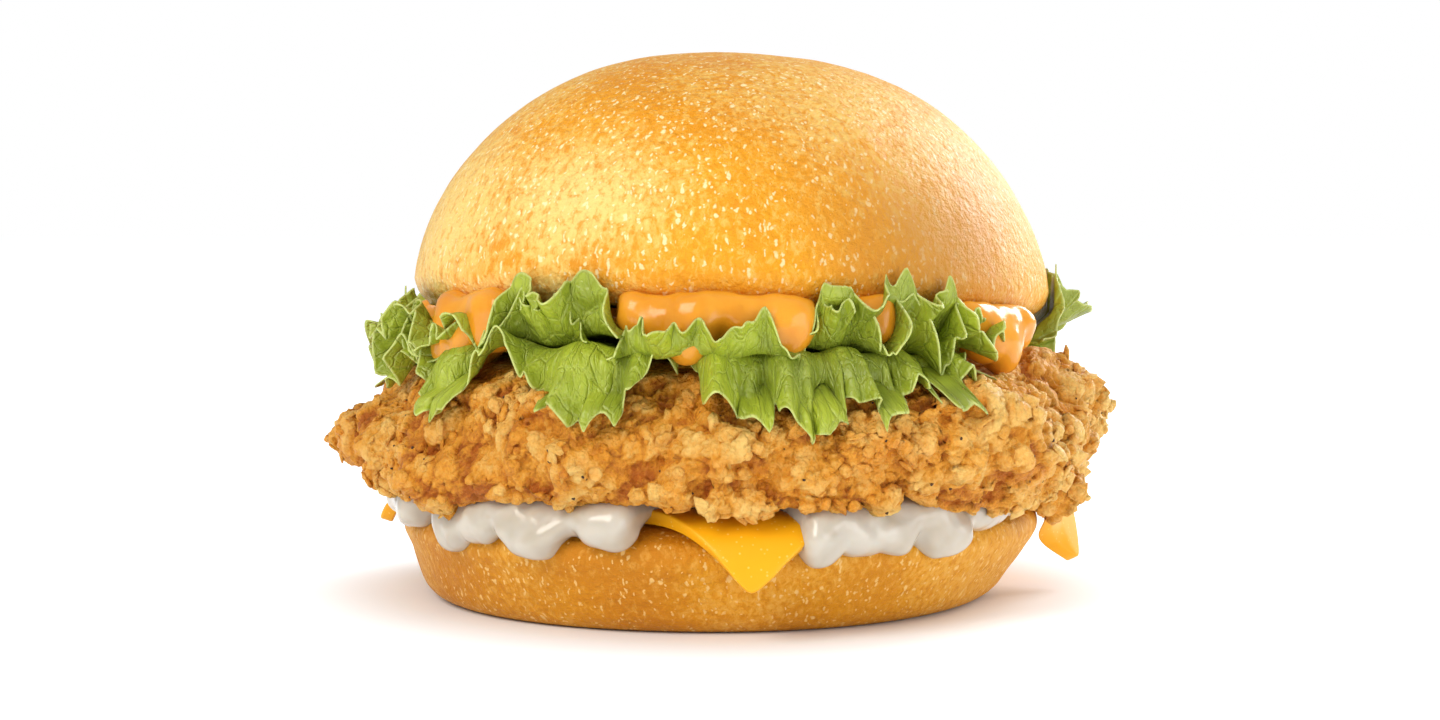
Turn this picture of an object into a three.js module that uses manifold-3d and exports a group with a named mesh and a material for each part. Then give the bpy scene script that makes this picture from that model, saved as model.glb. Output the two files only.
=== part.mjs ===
// A chicken burger, built in the order it is stacked: heel bun, cheese slice, white sauce, fried
// chicken fillet, frilly lettuce leaves in two tiers, orange sauce, crown bun.
// Millimetres, +Z up. The origin is the middle of the heel's flat base. The front faces -Y.
// Angles round the burger are in degrees from +X, so the front is at -90.
import * as THREE from "three";
import { mergeVertices } from "three/addons/utils/BufferGeometryUtils.js";
import Module from "manifold-3d";

const wasm = await Module();
wasm.setup();

// Driving dimensions
const BUN_RADIUS = 52;
const HEEL_HEIGHT = 16;
const CROWN_HEIGHT = 42.3;
const CROWN_WIDEST = 4.2; // height of its widest ring above its underside
const CROWN_RADIUS = 51.6;
const CROWN_SEAT = { x: 1.6, y: 1, z: 45.3 };
const CROWN_ROLL = 1.3; // right side lower
const CROWN_PITCH = 4.1; // front higher
const CHEESE_SIDE = 85.6;
const CHEESE_THICKNESS = 2.2;
const CHEESE_TURN = 46;
const CHEESE_CENTRE = { x: 3.7, y: 0.7 };
const FILLET_BASE = 20.5;
const FILLET_TOP = 38.4;
const LEAF_THICKNESS = 0.8;
const SAUCE_DEPTH = 3.6;
const GAP = 0.35; // between pieces that touch
const WELD = 0.02; // corners closer than this are one

const COLOURS = {
  crust: { color: 0xe6a02e, roughness: 0.55, metalness: 0 },
  cheese: { color: 0xf9b81e, roughness: 0.4, metalness: 0 },
  whiteSauce: { color: 0xe6ddce, roughness: 0.2, metalness: 0 },
  batter: { color: 0xd98a35, roughness: 0.7, metalness: 0 },
  leaf: { color: 0x93ad35, roughness: 0.45, metalness: 0 },
  orangeSauce: { color: 0xf39a2b, roughness: 0.2, metalness: 0 },
};

// Small mathematics
const rad = (degrees) => (degrees * Math.PI) / 180;
const mix = (a, b, t) => a + (b - a) * t;
const clamp = (x, low, high) => Math.min(high, Math.max(low, x));

function smooth(low, high, x) {
  const t = clamp((x - low) / (high - low), 0, 1);
  return t * t * (3 - 2 * t);
}

// The signed angle from b to a, between -180 and 180 degrees.
const turnBetween = (a, b) => ((((a - b + 180) % 360) + 360) % 360) - 180;

// A number from 0 to 1 that looks random and is always the same for the same three inputs.
function chance(i, j, k) {
  const x = Math.sin(i * 127.1 + j * 311.7 + k * 74.7) * 43758.5453;
  return x - Math.floor(x);
}

// Smooth noise from -1 to 1 over space, with bumps about one unit apart.
function noise(x, y, z) {
  const cell = [x, y, z].map(Math.floor);
  const f = [x - cell[0], y - cell[1], z - cell[2]].map((t) => t * t * (3 - 2 * t));
  let sum = 0;
  for (let corner = 0; corner < 8; corner++) {
    const step = [corner & 1, (corner >> 1) & 1, corner >> 2];
    const weight = step.reduce((w, s, a) => w * (s ? f[a] : 1 - f[a]), 1);
    sum += weight * chance(cell[0] + step[0], cell[1] + step[1], cell[2] + step[2]);
  }
  return 2 * sum - 1;
}

// Geometry helpers
function closedMesh(points, triangles) {
  const geometry = new THREE.BufferGeometry();
  const flat = points.flatMap((p) => [p.x, p.y, p.z]);
  geometry.setAttribute("position", new THREE.Float32BufferAttribute(flat, 3));
  geometry.setIndex(triangles.flat());
  return geometry;
}

// A closed skin over a stack of rings, each a loop of points anticlockwise from above, from the
// lowest ring to the highest, with one point to close each end.
function skin(rings, low, high) {
  const n = rings[0].length;
  const points = [low, ...rings.flat(), high];
  const at = (ring, i) => 1 + ring * n + (i % n);
  const last = rings.length - 1;
  const triangles = [];
  for (let i = 0; i < n; i++) {
    triangles.push([0, at(0, i + 1), at(0, i)]);
    triangles.push([points.length - 1, at(last, i), at(last, i + 1)]);
    for (let ring = 0; ring < last; ring++) {
      triangles.push([at(ring, i), at(ring, i + 1), at(ring + 1, i + 1)]);
      triangles.push([at(ring, i), at(ring + 1, i + 1), at(ring + 1, i)]);
    }
  }
  return closedMesh(points, triangles);
}

function ringOf(columns, place) {
  return Array.from({ length: columns }, (_, i) => place((360 * i) / columns - 180));
}

const polar = (angle, radius, z) =>
  new THREE.Vector3(radius * Math.cos(rad(angle)), radius * Math.sin(rad(angle)), z);

function solidOf(geometry) {
  const bare = new THREE.BufferGeometry();
  bare.setAttribute("position", geometry.getAttribute("position"));
  bare.setIndex(geometry.index);
  const merged = mergeVertices(bare, 1e-4);
  return new wasm.Manifold(
    new wasm.Mesh({
      numProp: 3,
      vertProperties: new Float32Array(merged.attributes.position.array),
      triVerts: new Uint32Array(merged.index.array),
    }),
  );
}

// The largest body of a solid as geometry, so that cut-off scraps are dropped. Corners closer
// than a weld's width are joined, and the slivers between them go.
function geometryOf(solid) {
  const largest = solid.decompose().reduce((a, b) => (a.volume() > b.volume() ? a : b));
  const mesh = largest.getMesh();
  const geometry = new THREE.BufferGeometry();
  geometry.setAttribute("position", new THREE.Float32BufferAttribute(mesh.vertProperties, 3));
  geometry.setIndex([...mesh.triVerts]);
  const welded = mergeVertices(geometry, WELD);
  const index = welded.index.array;
  const kept = [];
  for (let i = 0; i < index.length; i += 3) {
    const [a, b, c] = index.slice(i, i + 3);
    if (a !== b && b !== c && c !== a) kept.push(a, b, c);
  }
  welded.setIndex(kept);
  return welded;
}

function cutBy(geometry, cutters) {
  return geometryOf(cutters.reduce((s, c) => s.subtract(solidOf(c)), solidOf(geometry)));
}

// Heel bun: a flat-based bowl of crust, widest just under its cut top.
const HEEL_COLUMNS = 40;
const HEEL_LEAN = 1.4; // how far its base sits to the left of its top
const HEEL_PROFILE = [
  [0.8, 0],
  [0.858, 0.3],
  [0.902, 2],
  [0.935, 5],
  [0.97, 8.6],
  [0.993, 11.2],
  [0.985, 13.4],
  [0.955, 14.6],
  [0.91, 15.5],
];

// How far the bun's outline strays from a circle at an angle, as a share of its radius.
const bunWobble = (angle, seed) =>
  0.006 * Math.sin(rad(2 * angle + 40 * seed)) + 0.003 * Math.sin(rad(5 * angle + 70 * seed));

function heelGeometry(grow = 0) {
  const rings = HEEL_PROFILE.map(([share, height]) =>
    ringOf(HEEL_COLUMNS, (angle) => {
      const radius = BUN_RADIUS * share * (1 + bunWobble(angle, 1)) + grow;
      const p = polar(angle, radius, height === 0 ? -grow : height + grow * smooth(8, 15, height));
      p.x -= HEEL_LEAN * smooth(11, 1, height);
      return p;
    }),
  );
  const top = ringOf(HEEL_COLUMNS, (angle) => polar(angle, BUN_RADIUS * 0.86, HEEL_HEIGHT + grow));
  rings.push(top);
  return skin(rings, new THREE.Vector3(0, 0, -grow), new THREE.Vector3(0, 0, HEEL_HEIGHT + grow));
}

// Crown bun: a dome of crust on a tucked-in lower edge, leaning on the filling.
const CROWN_COLUMNS = 40;
const CROWN_DOME_RINGS = 9;
const CROWN_TUCK = [
  [0.5, 0],
  [0.9, 0.1],
  [0.955, 0.9],
  [0.985, 2.2],
];
const DOME_POWERS = [1.62, 0.4]; // of the rise and of the radius

function crownPlacement() {
  const seat = new THREE.Matrix4().makeTranslation(CROWN_SEAT.x, CROWN_SEAT.y, CROWN_SEAT.z);
  const lean = new THREE.Matrix4().makeRotationFromEuler(
    new THREE.Euler(rad(-CROWN_PITCH), rad(CROWN_ROLL), 0),
  );
  return seat.multiply(lean);
}

function crownGeometry(grow = 0) {
  const rings = CROWN_TUCK.map(([share, height]) =>
    ringOf(CROWN_COLUMNS, (angle) => {
      const radius = CROWN_RADIUS * share * (1 + bunWobble(angle, 2)) + grow;
      return polar(angle, radius, height - grow * (1 - smooth(0, CROWN_WIDEST, height)));
    }),
  );
  const rise = CROWN_HEIGHT - CROWN_WIDEST;
  for (let k = 0; k < CROWN_DOME_RINGS; k++) {
    const lift = Math.sin(rad((90 * k) / CROWN_DOME_RINGS));
    const share = Math.pow(1 - Math.pow(lift, DOME_POWERS[0]), DOME_POWERS[1]);
    rings.push(
      ringOf(CROWN_COLUMNS, (angle) => {
        const radius = (CROWN_RADIUS * share + grow) * (1 + bunWobble(angle, 2) * (1 - lift));
        return polar(angle, radius, CROWN_WIDEST + lift * rise + grow * lift);
      }),
    );
  }
  const shape = skin(rings, new THREE.Vector3(0, 0, -grow), new THREE.Vector3(0, 0, CROWN_HEIGHT + grow));
  return shape.applyMatrix4(crownPlacement());
}

// Cheese slice: a square sheet that lies on the heel and folds down where its corners pass the rim.
const CHEESE_CELLS = 14;
const CHEESE_REST = BUN_RADIUS * 0.9; // radius where the sheet leaves the flat of the heel
const CHEESE_BEND = 7.3;
const CHEESE_SLOPE = { hugging: 82, standing: 66 }; // how steeply a corner hangs, in degrees
// How far the right corner's back edge swings out and its front edge in, by its width, and how far
// past the rim each starts to and is there.
const CHEESE_FLARE = { out: 0.5, outFrom: 0, outBy: 6, in: 0.9, inFrom: 7, inBy: 15 };

// Where a point of the flat slice goes when it is laid on the heel, and its outward normal.
function drape(x, y, height) {
  const radius = Math.hypot(x, y);
  const past = radius - CHEESE_REST;
  if (past <= 0) return new THREE.Vector3(x, y, HEEL_HEIGHT + height);
  const angle = (Math.atan2(y, x) * 180) / Math.PI;
  const standing = smooth(40, 10, Math.abs(turnBetween(angle, 0)));
  const steepest = rad(mix(CHEESE_SLOPE.hugging, CHEESE_SLOPE.standing, standing));
  const arc = CHEESE_BEND * steepest;
  const turned = Math.min(past / CHEESE_BEND, steepest);
  const straight = Math.max(0, past - arc);
  const across = y - CHEESE_CENTRE.y;
  const { out, outFrom, outBy, in: tuck, inFrom, inBy } = CHEESE_FLARE;
  const swing = across > 0 ? out * smooth(outFrom, outBy, past) : tuck * smooth(inFrom, inBy, past);
  const flare = standing * across * swing;
  const reach = CHEESE_REST + CHEESE_BEND * Math.sin(turned) + straight * Math.cos(steepest) + flare;
  const fall = CHEESE_BEND * (1 - Math.cos(turned)) + straight * Math.sin(steepest);
  return polar(
    angle,
    reach + height * Math.sin(turned),
    HEEL_HEIGHT - fall + height * Math.cos(turned),
  );
}

function cheeseGeometry(grow = 0) {
  const half = CHEESE_SIDE / 2 + grow;
  const turn = rad(CHEESE_TURN);
  const n = CHEESE_CELLS + 1;
  const points = [];
  for (const height of [GAP - grow, GAP + CHEESE_THICKNESS + grow]) {
    for (let i = 0; i < n; i++) {
      for (let j = 0; j < n; j++) {
        const a = mix(-half, half, i / CHEESE_CELLS);
        const b = mix(-half, half, j / CHEESE_CELLS);
        const x = CHEESE_CENTRE.x + a * Math.cos(turn) - b * Math.sin(turn);
        const y = CHEESE_CENTRE.y + a * Math.sin(turn) + b * Math.cos(turn);
        points.push(drape(x, y, height));
      }
    }
  }
  return closedMesh(points, sheetTriangles(n, n));
}

// The triangles of a thin closed sheet: rows x columns points of one face, then those of the other,
// with the second face outwards on the left of the way the rows run.
function sheetTriangles(rows, columns) {
  const at = (face, i, j) => face * rows * columns + i * columns + j;
  const triangles = [];
  for (let i = 0; i < rows - 1; i++) {
    for (let j = 0; j < columns - 1; j++) {
      triangles.push([at(1, i, j), at(1, i + 1, j), at(1, i + 1, j + 1)]);
      triangles.push([at(1, i, j), at(1, i + 1, j + 1), at(1, i, j + 1)]);
      triangles.push([at(0, i, j), at(0, i + 1, j + 1), at(0, i + 1, j)]);
      triangles.push([at(0, i, j), at(0, i, j + 1), at(0, i + 1, j + 1)]);
    }
  }
  const wall = (i, j, k, l) => {
    triangles.push([at(0, i, j), at(0, k, l), at(1, k, l)]);
    triangles.push([at(0, i, j), at(1, k, l), at(1, i, j)]);
  };
  for (let i = 0; i < rows - 1; i++) {
    wall(i, 0, i + 1, 0);
    wall(i + 1, columns - 1, i, columns - 1);
  }
  for (let j = 0; j < columns - 1; j++) {
    wall(0, j + 1, 0, j);
    wall(rows - 1, j, rows - 1, j + 1);
  }
  return triangles;
}

// Chicken fillet: a craggy slab, pointed on the left, thick and knobbly on the right.
const FILLET_COLUMNS = 106;
const FILLET_RINGS = 12;
const FILLET_REACH = { left: 61.5, right: 61.5, front: 54, back: 53 };
const FILLET_ROUNDNESS = 0.24; // of its edge: 0 is square
const FILLET_LIFT = 0.85; // share of the crown's lean that the top follows
// Lumps of batter: angle and height of the middle, width along the rim, height, how far it stands out.
const FILLET_LUMPS = [
  { angle: -167, z: 30, wide: 6, tall: 3, out: 3 },
  { angle: -178, z: 25, wide: 7, tall: 4, out: 3 },
  { angle: -116, z: 28, wide: 7, tall: 8, out: 4.2 },
  { angle: -140, z: 20, wide: 6, tall: 5, out: 4 },
  { angle: -134, z: 36, wide: 8, tall: 4, out: 2.6 },
  { angle: -97, z: 22, wide: 6, tall: 3, out: 1.6 },
  { angle: -88, z: 29, wide: 7, tall: 4, out: 2 },
  { angle: -73, z: 21, wide: 7, tall: 4, out: 3 },
  { angle: -66, z: 31, wide: 7, tall: 4, out: 2.4 },
  { angle: -50, z: 32, wide: 9, tall: 6, out: 4.4 },
  { angle: -41, z: 22, wide: 7, tall: 4, out: 2.6 },
  { angle: -8, z: 33, wide: 9, tall: 5, out: 3.2 },
  { angle: 25, z: 29, wide: 9, tall: 5, out: 3.6 },
  { angle: 62, z: 25, wide: 10, tall: 5, out: 3.4 },
  { angle: 95, z: 29, wide: 9, tall: 5, out: 3.8 },
  { angle: 128, z: 23, wide: 9, tall: 5, out: 3.2 },
  { angle: 152, z: 28, wide: 8, tall: 5, out: 3 },
];
const FILLET_KNOB = { angle: -18, radius: 55, size: 9, height: 6 };
// Pieces of crust that hang below the rim: angle, half width in degrees, drop.
const FILLET_HANGS = [
  [-25, 6, 6.8],
  [-139, 7, 2.6],
  [-91, 12, 2.6],
  [-73, 7, 2.6],
  [-46, 5, 1],
  [70, 8, 2.5],
  [118, 7, 3],
];

function filletReach(angle) {
  const c = Math.cos(rad(angle));
  const s = Math.sin(rad(angle));
  const a = c > 0 ? FILLET_REACH.right : FILLET_REACH.left;
  const b = s > 0 ? FILLET_REACH.back : FILLET_REACH.front;
  const squareness = c > 0 ? 2.5 : 2.05;
  const oval = Math.pow(
    Math.pow(Math.abs(c) / a, squareness) + Math.pow(Math.abs(s) / b, squareness),
    -1 / squareness,
  );
  return oval * (1 + 0.018 * Math.sin(rad(3 * angle + 20)) + 0.012 * Math.sin(rad(7 * angle)));
}

function filletTop(x, y) {
  const radius = Math.hypot(x, y);
  const angle = (Math.atan2(y, x) * 180) / Math.PI;
  const knob = Math.hypot(
    x - FILLET_KNOB.radius * Math.cos(rad(FILLET_KNOB.angle)),
    y - FILLET_KNOB.radius * Math.sin(rad(FILLET_KNOB.angle)),
  );
  const lean = -x * Math.tan(rad(CROWN_ROLL)) - y * Math.tan(rad(CROWN_PITCH));
  const left = smooth(70, 150, Math.abs(turnBetween(angle, 0)));
  const fall = smooth(34, 48, radius) + mix(1.2, 5.6, left) * smooth(mix(48, 46, left), 60, radius);
  const bump = FILLET_KNOB.height * Math.exp(-((knob / FILLET_KNOB.size) ** 2));
  return FILLET_TOP + FILLET_LIFT * lean - fall + bump;
}

function filletBottom(x, y) {
  const radius = Math.hypot(x, y);
  const angle = (Math.atan2(y, x) * 180) / Math.PI;
  const pointed = 1.6 * smooth(50, 60, -x) + 1.2 * smooth(54, 62, x);
  const hang = FILLET_HANGS.reduce(
    (sum, [middle, width, drop]) => sum + drop * Math.exp(-((turnBetween(angle, middle) / width) ** 2)),
    0,
  );
  const edge = Math.max(smooth(53, 57, radius), smooth(0.87, 0.97, radius / filletReach(angle)));
  return FILLET_BASE + pointed - 3.4 * smooth(47, 55, radius) - hang * edge;
}

function filletPoint(angle, climb, grow) {
  const turned = rad(climb);
  const share = Math.pow(Math.cos(turned), FILLET_ROUNDNESS);
  const flat = polar(angle, filletReach(angle) * share, 0);
  const side = smooth(0.8, 0.95, share);
  const middle = (1 + Math.sin(turned)) / 2;
  const z = mix(filletBottom(flat.x, flat.y), filletTop(flat.x, flat.y), middle);
  const coarse = Math.abs(noise(flat.x / 11, flat.y / 11, z / 9 + 5));
  const fine = Math.abs(noise(flat.x / 6, flat.y / 6, z / 5 + 40));
  let out = mix(0.1, 1, side) * (4 * (coarse - 0.3) + 2.8 * (fine - 0.3));
  for (const lump of FILLET_LUMPS) {
    const across = (rad(turnBetween(angle, lump.angle)) * filletReach(angle)) / lump.wide;
    const up = (z - lump.z) / lump.tall;
    out += side * lump.out * Math.exp(-(across * across) - up * up);
  }
  const level = Math.cos(turned);
  const lift = Math.sin(turned);
  const pushed = polar(angle, flat.length() + (out + grow) * Math.sqrt(level), 0);
  return new THREE.Vector3(pushed.x, pushed.y, z + (out * 0.6 + grow) * Math.sign(lift) * lift * lift);
}

function filletGeometry(grow = 0) {
  const rings = [];
  for (let k = 1; k < FILLET_RINGS; k++) {
    const climb = -90 + (180 * k) / FILLET_RINGS;
    rings.push(ringOf(FILLET_COLUMNS, (angle) => filletPoint(angle, climb, grow)));
  }
  return skin(
    rings,
    new THREE.Vector3(0, 0, filletBottom(0, 0) - grow),
    new THREE.Vector3(0, 0, filletTop(0, 0) + grow),
  );
}

// White sauce: a thin bed on the cheese that squeezes out over the rim in lumpy drips.
const WHITE_COLUMNS = 54;
const WHITE_REACH = 52.6;
// Stretches of the rim that the sauce runs over, from angle to angle.
const WHITE_SPILLS = [
  [-171, -149],
  [-146, -103.5],
  [-78, -24],
  [33, 76],
  [100, 152],
];
// Drips: angle, half width in degrees, length.
const WHITE_DRIPS = [
  [-164, 4, 1.2],
  [-155, 4, 2.4],
  [-140, 4.5, 4.2],
  [-133, 4, 3],
  [-122, 5.5, 4.2],
  [-108, 5, 1.8],
  [-75, 5, 4.4],
  [-67, 4.5, 3.4],
  [-61, 4, 3.4],
  [-51, 4.5, 4.2],
  [-40, 5, 1],
  [45, 6, 3],
  [62, 5, 4.5],
  [110, 6, 4],
  [122, 5, 2.5],
  [138, 6, 5],
];

const within = (angle, [from, to], edge) =>
  smooth(from - edge, from + edge, angle) * (1 - smooth(to - edge, to + edge, angle));

function dripLength(drips, angle) {
  return drips.reduce((longest, [middle, width, length]) => {
    const away = turnBetween(angle, middle) / width;
    return Math.max(longest, length * Math.exp(-(away ** 4)));
  }, 0);
}

// The solid over one section per column, each a list of [radius, height] from its lowest inner
// point round the outside to its highest inner point.
function ringSolid(columns, section) {
  const sections = Array.from({ length: columns }, (_, i) => {
    const angle = (360 * i) / columns - 180;
    return section(angle).map(([radius, z]) => polar(angle, radius, z));
  });
  const rings = sections[0].map((_, k) => sections.map((points) => points[k]));
  const [low, high] = [rings[0][0].z, rings.at(-1)[0].z];
  return skin(rings, new THREE.Vector3(0, 0, low), new THREE.Vector3(0, 0, high));
}

function whiteSauceBlob() {
  const bed = 47;
  const bedLow = HEEL_HEIGHT + 2 * GAP + CHEESE_THICKNESS - 0.3;
  const bedHigh = FILLET_BASE - 0.7;
  return ringSolid(WHITE_COLUMNS, (angle) => {
    const spill = Math.max(...WHITE_SPILLS.map((range) => within(angle, range, 2.5)));
    const drip = dripLength(WHITE_DRIPS, angle) * spill;
    const out = WHITE_REACH + 0.6 * Math.sin(rad(angle * 13)) + 0.2 * drip;
    const low = HEEL_HEIGHT - 0.6 - drip;
    return [
      [mix(bed, 44, spill), bedLow],
      [mix(bed + 0.4, 49.5, spill), mix(bedLow, low + 0.8, spill)],
      [mix(bed + 0.8, out - 0.4, spill), mix(bedLow, low, spill)],
      [mix(bed + 1.2, out + 1.4, spill), mix(bedLow + 0.3, low + 1.2, spill)],
      [mix(bed + 1.4, out + 1.9, spill), mix(bedLow + 0.5, low + 2.6, spill)],
      [mix(bed + 1.2, out + 1.3, spill), mix(bedLow + 0.7, HEEL_HEIGHT + 2, spill)],
      [mix(bed + 0.6, out - 0.8, spill), mix(bedHigh, HEEL_HEIGHT + 4, spill)],
      [mix(bed, 44, spill), bedHigh],
    ];
  });
}

const whiteSauceGeometry = () =>
  cutBy(whiteSauceBlob(), [heelGeometry(GAP), cheeseGeometry(1.8 * GAP), filletGeometry(1.3 * GAP)]);

// Lettuce: each leaf is one thin sheet pinched between fillet and crown. Past the rim it turns up
// or down, and its margin is so much longer than its root that it meanders in deep folds.
const LEAF_RIM = 48; // radius where a leaf starts to turn
const LEAF_TURN_RADIUS = 4.5;
const LEAF_LIFT = rad(-25);
const LEAF_CLEARANCE = { up: 2.1, out: 4, crown: 1.6 };
const FOLD_STEPS = 6; // columns per fold
const TOOTH = 0.4;
const LEAF_END = 0.4; // share of its length that a leaf has at its two ends
// Rows from root to margin: radius, share of the free length past the rim, share of the folds'
// curl, and share of the space between fillet and sauce for a lower and an upper leaf.
const LEAF_ROWS = [
  { radius: 32, free: 0, curl: 0.1, share: [0.28, 0.76] },
  { radius: LEAF_RIM, free: 0, curl: 0.22, share: [0.42, 0.84] },
  { radius: LEAF_RIM, free: 0.38, curl: 0.5, share: [0.42, 0.84] },
  { radius: LEAF_RIM, free: 0.72, curl: 0.9, share: [0.42, 0.84] },
  { radius: LEAF_RIM, free: 1, curl: 1.05, share: [0.42, 0.84] },
];
// Leaves in order of laying. fold is a fold's mean width and curl its turn, in degrees. length and
// turn say how far the leaf reaches past the rim and which way it turns there, positive being down,
// except in its lobes: [angle, half width, length, turn].
const LEAVES = [
  {
    name: "lettuce_lower_left",
    tier: 0,
    range: [-168, -97],
    fold: 12,
    curl: 62,
    length: 7,
    turn: 8,
    lobes: [
      [-156, 6, 11, 40],
      [-138, 5.5, 14.5, 80],
      [-110, 9.5, 14.5, 76],
    ],
  },
  {
    name: "lettuce_lower_front",
    tier: 0,
    range: [-96, -44],
    fold: 10.5,
    curl: 60,
    length: 9,
    turn: 40,
    lobes: [
      [-88, 6.5, 14, 72],
      [-76, 5, 16.5, 80],
      [-66, 4.5, 13, 66],
      [-55, 5, 11, 50],
    ],
  },
  {
    name: "lettuce_upper_left",
    tier: 1,
    range: [-206, -108],
    fold: 12,
    curl: 74,
    length: 8,
    turn: -42,
    lobes: [
      [-190, 8, 11, 52],
      [-170, 7, 6, -35],
      [-152, 6, 9.5, -12],
      [-141, 5, 8, -66],
      [-119, 9, 8.5, -66],
    ],
  },
  {
    name: "lettuce_upper_right",
    tier: 1,
    range: [-77, -36],
    fold: 9.5,
    curl: 76,
    length: 9,
    turn: -44,
    lobes: [
      [-73, 4, 9, -62],
      [-61, 6, 10, -70],
      [-52, 4, 10, -60],
      [-42, 5, 9, -5],
    ],
  },
  {
    name: "lettuce_back",
    tier: 1,
    range: [-8, 151],
    fold: 15.5,
    curl: 74,
    length: 9,
    turn: 10,
    lobes: [
      [4, 9, 13, -54],
      [30, 9, 12, 48],
      [48, 8, 10, -55],
      [70, 10, 17, 74],
      [92, 8, 10, -55],
      [112, 9, 15, 68],
      [135, 8, 10, -40],
    ],
  },
];

// One fold of a meander that is wide across and turns by curl each way: its points as
// [distance along, height], where the height is 0 at both ends and highest in the middle.
function meander(wide, curl) {
  const FINE = 8 * FOLD_STEPS;
  const points = [[0, 0]];
  for (let i = 0; i < FINE; i++) {
    const heading = curl * Math.sin((2 * Math.PI * (i + 0.5)) / FINE);
    points.push([points[i][0] + Math.cos(heading), points[i][1] + Math.sin(heading)]);
  }
  const scale = wide / points[FINE][0];
  return points.filter((_, i) => i % 8 === 0).map(([s, h]) => [s * scale, h * scale]);
}

// The folds of a leaf: where each starts, how wide it is and how far it curls.
function foldsOf(leaf, seed) {
  const [from, to] = leaf.range;
  const count = Math.round((to - from) / leaf.fold);
  const widths = Array.from({ length: count }, (_, k) => 0.75 + 0.5 * chance(k, seed, 1));
  const scale = (to - from) / widths.reduce((sum, width) => sum + width, 0);
  let start = from;
  return widths.map((width, k) => {
    const fold = { start, width: width * scale, curl: rad(leaf.curl * (0.88 + 0.22 * chance(k, seed, 2))) };
    start += fold.width;
    return fold;
  });
}

// How far a leaf reaches past the rim at an angle, and which way it turns there.
function reachAndTurn(leaf, angle) {
  let [length, turn] = [leaf.length, leaf.turn];
  for (const [middle, half, lobeLength, lobeTurn] of leaf.lobes) {
    const weight = Math.exp(-Math.pow(Math.abs(angle - middle) / half, 3));
    length = mix(length, lobeLength, weight);
    turn = mix(turn, lobeTurn, weight);
  }
  const fromEnd = Math.min(angle - leaf.range[0], leaf.range[1] - angle);
  return [length * mix(LEAF_END, 1, smooth(0, 6, fromEnd)), rad(turn)];
}

const crownFrame = crownPlacement();
const crownFrameInverse = crownFrame.clone().invert();

// The height of the orange sauce's underside over a point of the plan.
function sauceUnderside(x, y) {
  const point = new THREE.Vector3(x - CROWN_SEAT.x, y - CROWN_SEAT.y, -SAUCE_DEPTH - GAP);
  return point.applyMatrix4(crownFrame).z;
}

// A leaf's path past the rim starts out a little upwards and bends to its own turn. This is how
// far it runs out and rises after some travel, with its heading there, positive being down.
function pathPastRim(travel, turn) {
  const bend = turn - LEAF_LIFT;
  const turned = Math.min(travel / LEAF_TURN_RADIUS, Math.abs(bend)) * Math.sign(bend);
  const heading = LEAF_LIFT + turned;
  const straight = Math.max(0, travel - LEAF_TURN_RADIUS * Math.abs(bend));
  const side = LEAF_TURN_RADIUS * Math.sign(bend);
  return {
    out: side * (Math.sin(heading) - Math.sin(LEAF_LIFT)) + straight * Math.cos(heading),
    rise: side * (Math.cos(heading) - Math.cos(LEAF_LIFT)) - straight * Math.sin(heading),
    heading,
  };
}

function leafPoint(leaf, row, angle, along, height, tooth) {
  const [length, turn] = reachAndTurn(leaf, angle);
  const path = pathPastRim(row.free * (length + tooth), turn);
  const base = polar(angle, row.radius, 0);
  const floor = filletTop(base.x, base.y);
  const bed = mix(floor, sauceUnderside(base.x, base.y), row.share[leaf.tier]);
  const heading = row.free > 0 ? path.heading : 0;
  const radius = row.radius + path.out + height * Math.sin(heading);
  return polar(angle + along, radius, bed + path.rise + height * Math.cos(heading));
}

// The middle of a leaf's sheet as rows of points, from root to margin.
function leafSheet(leaf, seed) {
  const folds = foldsOf(leaf, seed);
  return LEAF_ROWS.map((row) => {
    const points = [];
    folds.forEach((fold, k) => {
      const wide = rad(fold.width) * (row.radius + 8 * row.free);
      const curve = meander(wide, fold.curl * row.curl);
      const peak = curve[FOLD_STEPS / 2][1];
      const steps = k === folds.length - 1 ? FOLD_STEPS + 1 : FOLD_STEPS;
      for (let step = 0; step < steps; step++) {
        const [along, height] = curve[step];
        const middle = fold.start + (fold.width * step) / FOLD_STEPS;
        const drift = fold.width * (along / wide - step / FOLD_STEPS);
        const tooth = TOOTH * (step % 2 ? 1 : -1) * (0.6 + 0.8 * chance(k, step, seed));
        points.push(leafPoint(leaf, row, middle, drift, height - peak / 2, tooth));
      }
    });
    return points;
  });
}

// How high the top of a solid is over a point, and how far out its side is from the axis.
function probe(geometry) {
  const FAR = 200;
  const mesh = new THREE.Mesh(geometry, new THREE.MeshBasicMaterial({ side: THREE.DoubleSide }));
  const ray = new THREE.Raycaster();
  const furthest = (from, towards) => {
    ray.set(from, towards);
    const hits = ray.intersectObject(mesh);
    return hits.length ? FAR - hits[0].distance : -FAR;
  };
  return {
    top: (x, y) => furthest(new THREE.Vector3(x, y, FAR), new THREE.Vector3(0, 0, -1)),
    side: (angle, z) => furthest(polar(angle, FAR, z), polar(angle, -1, 0)),
  };
}

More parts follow.
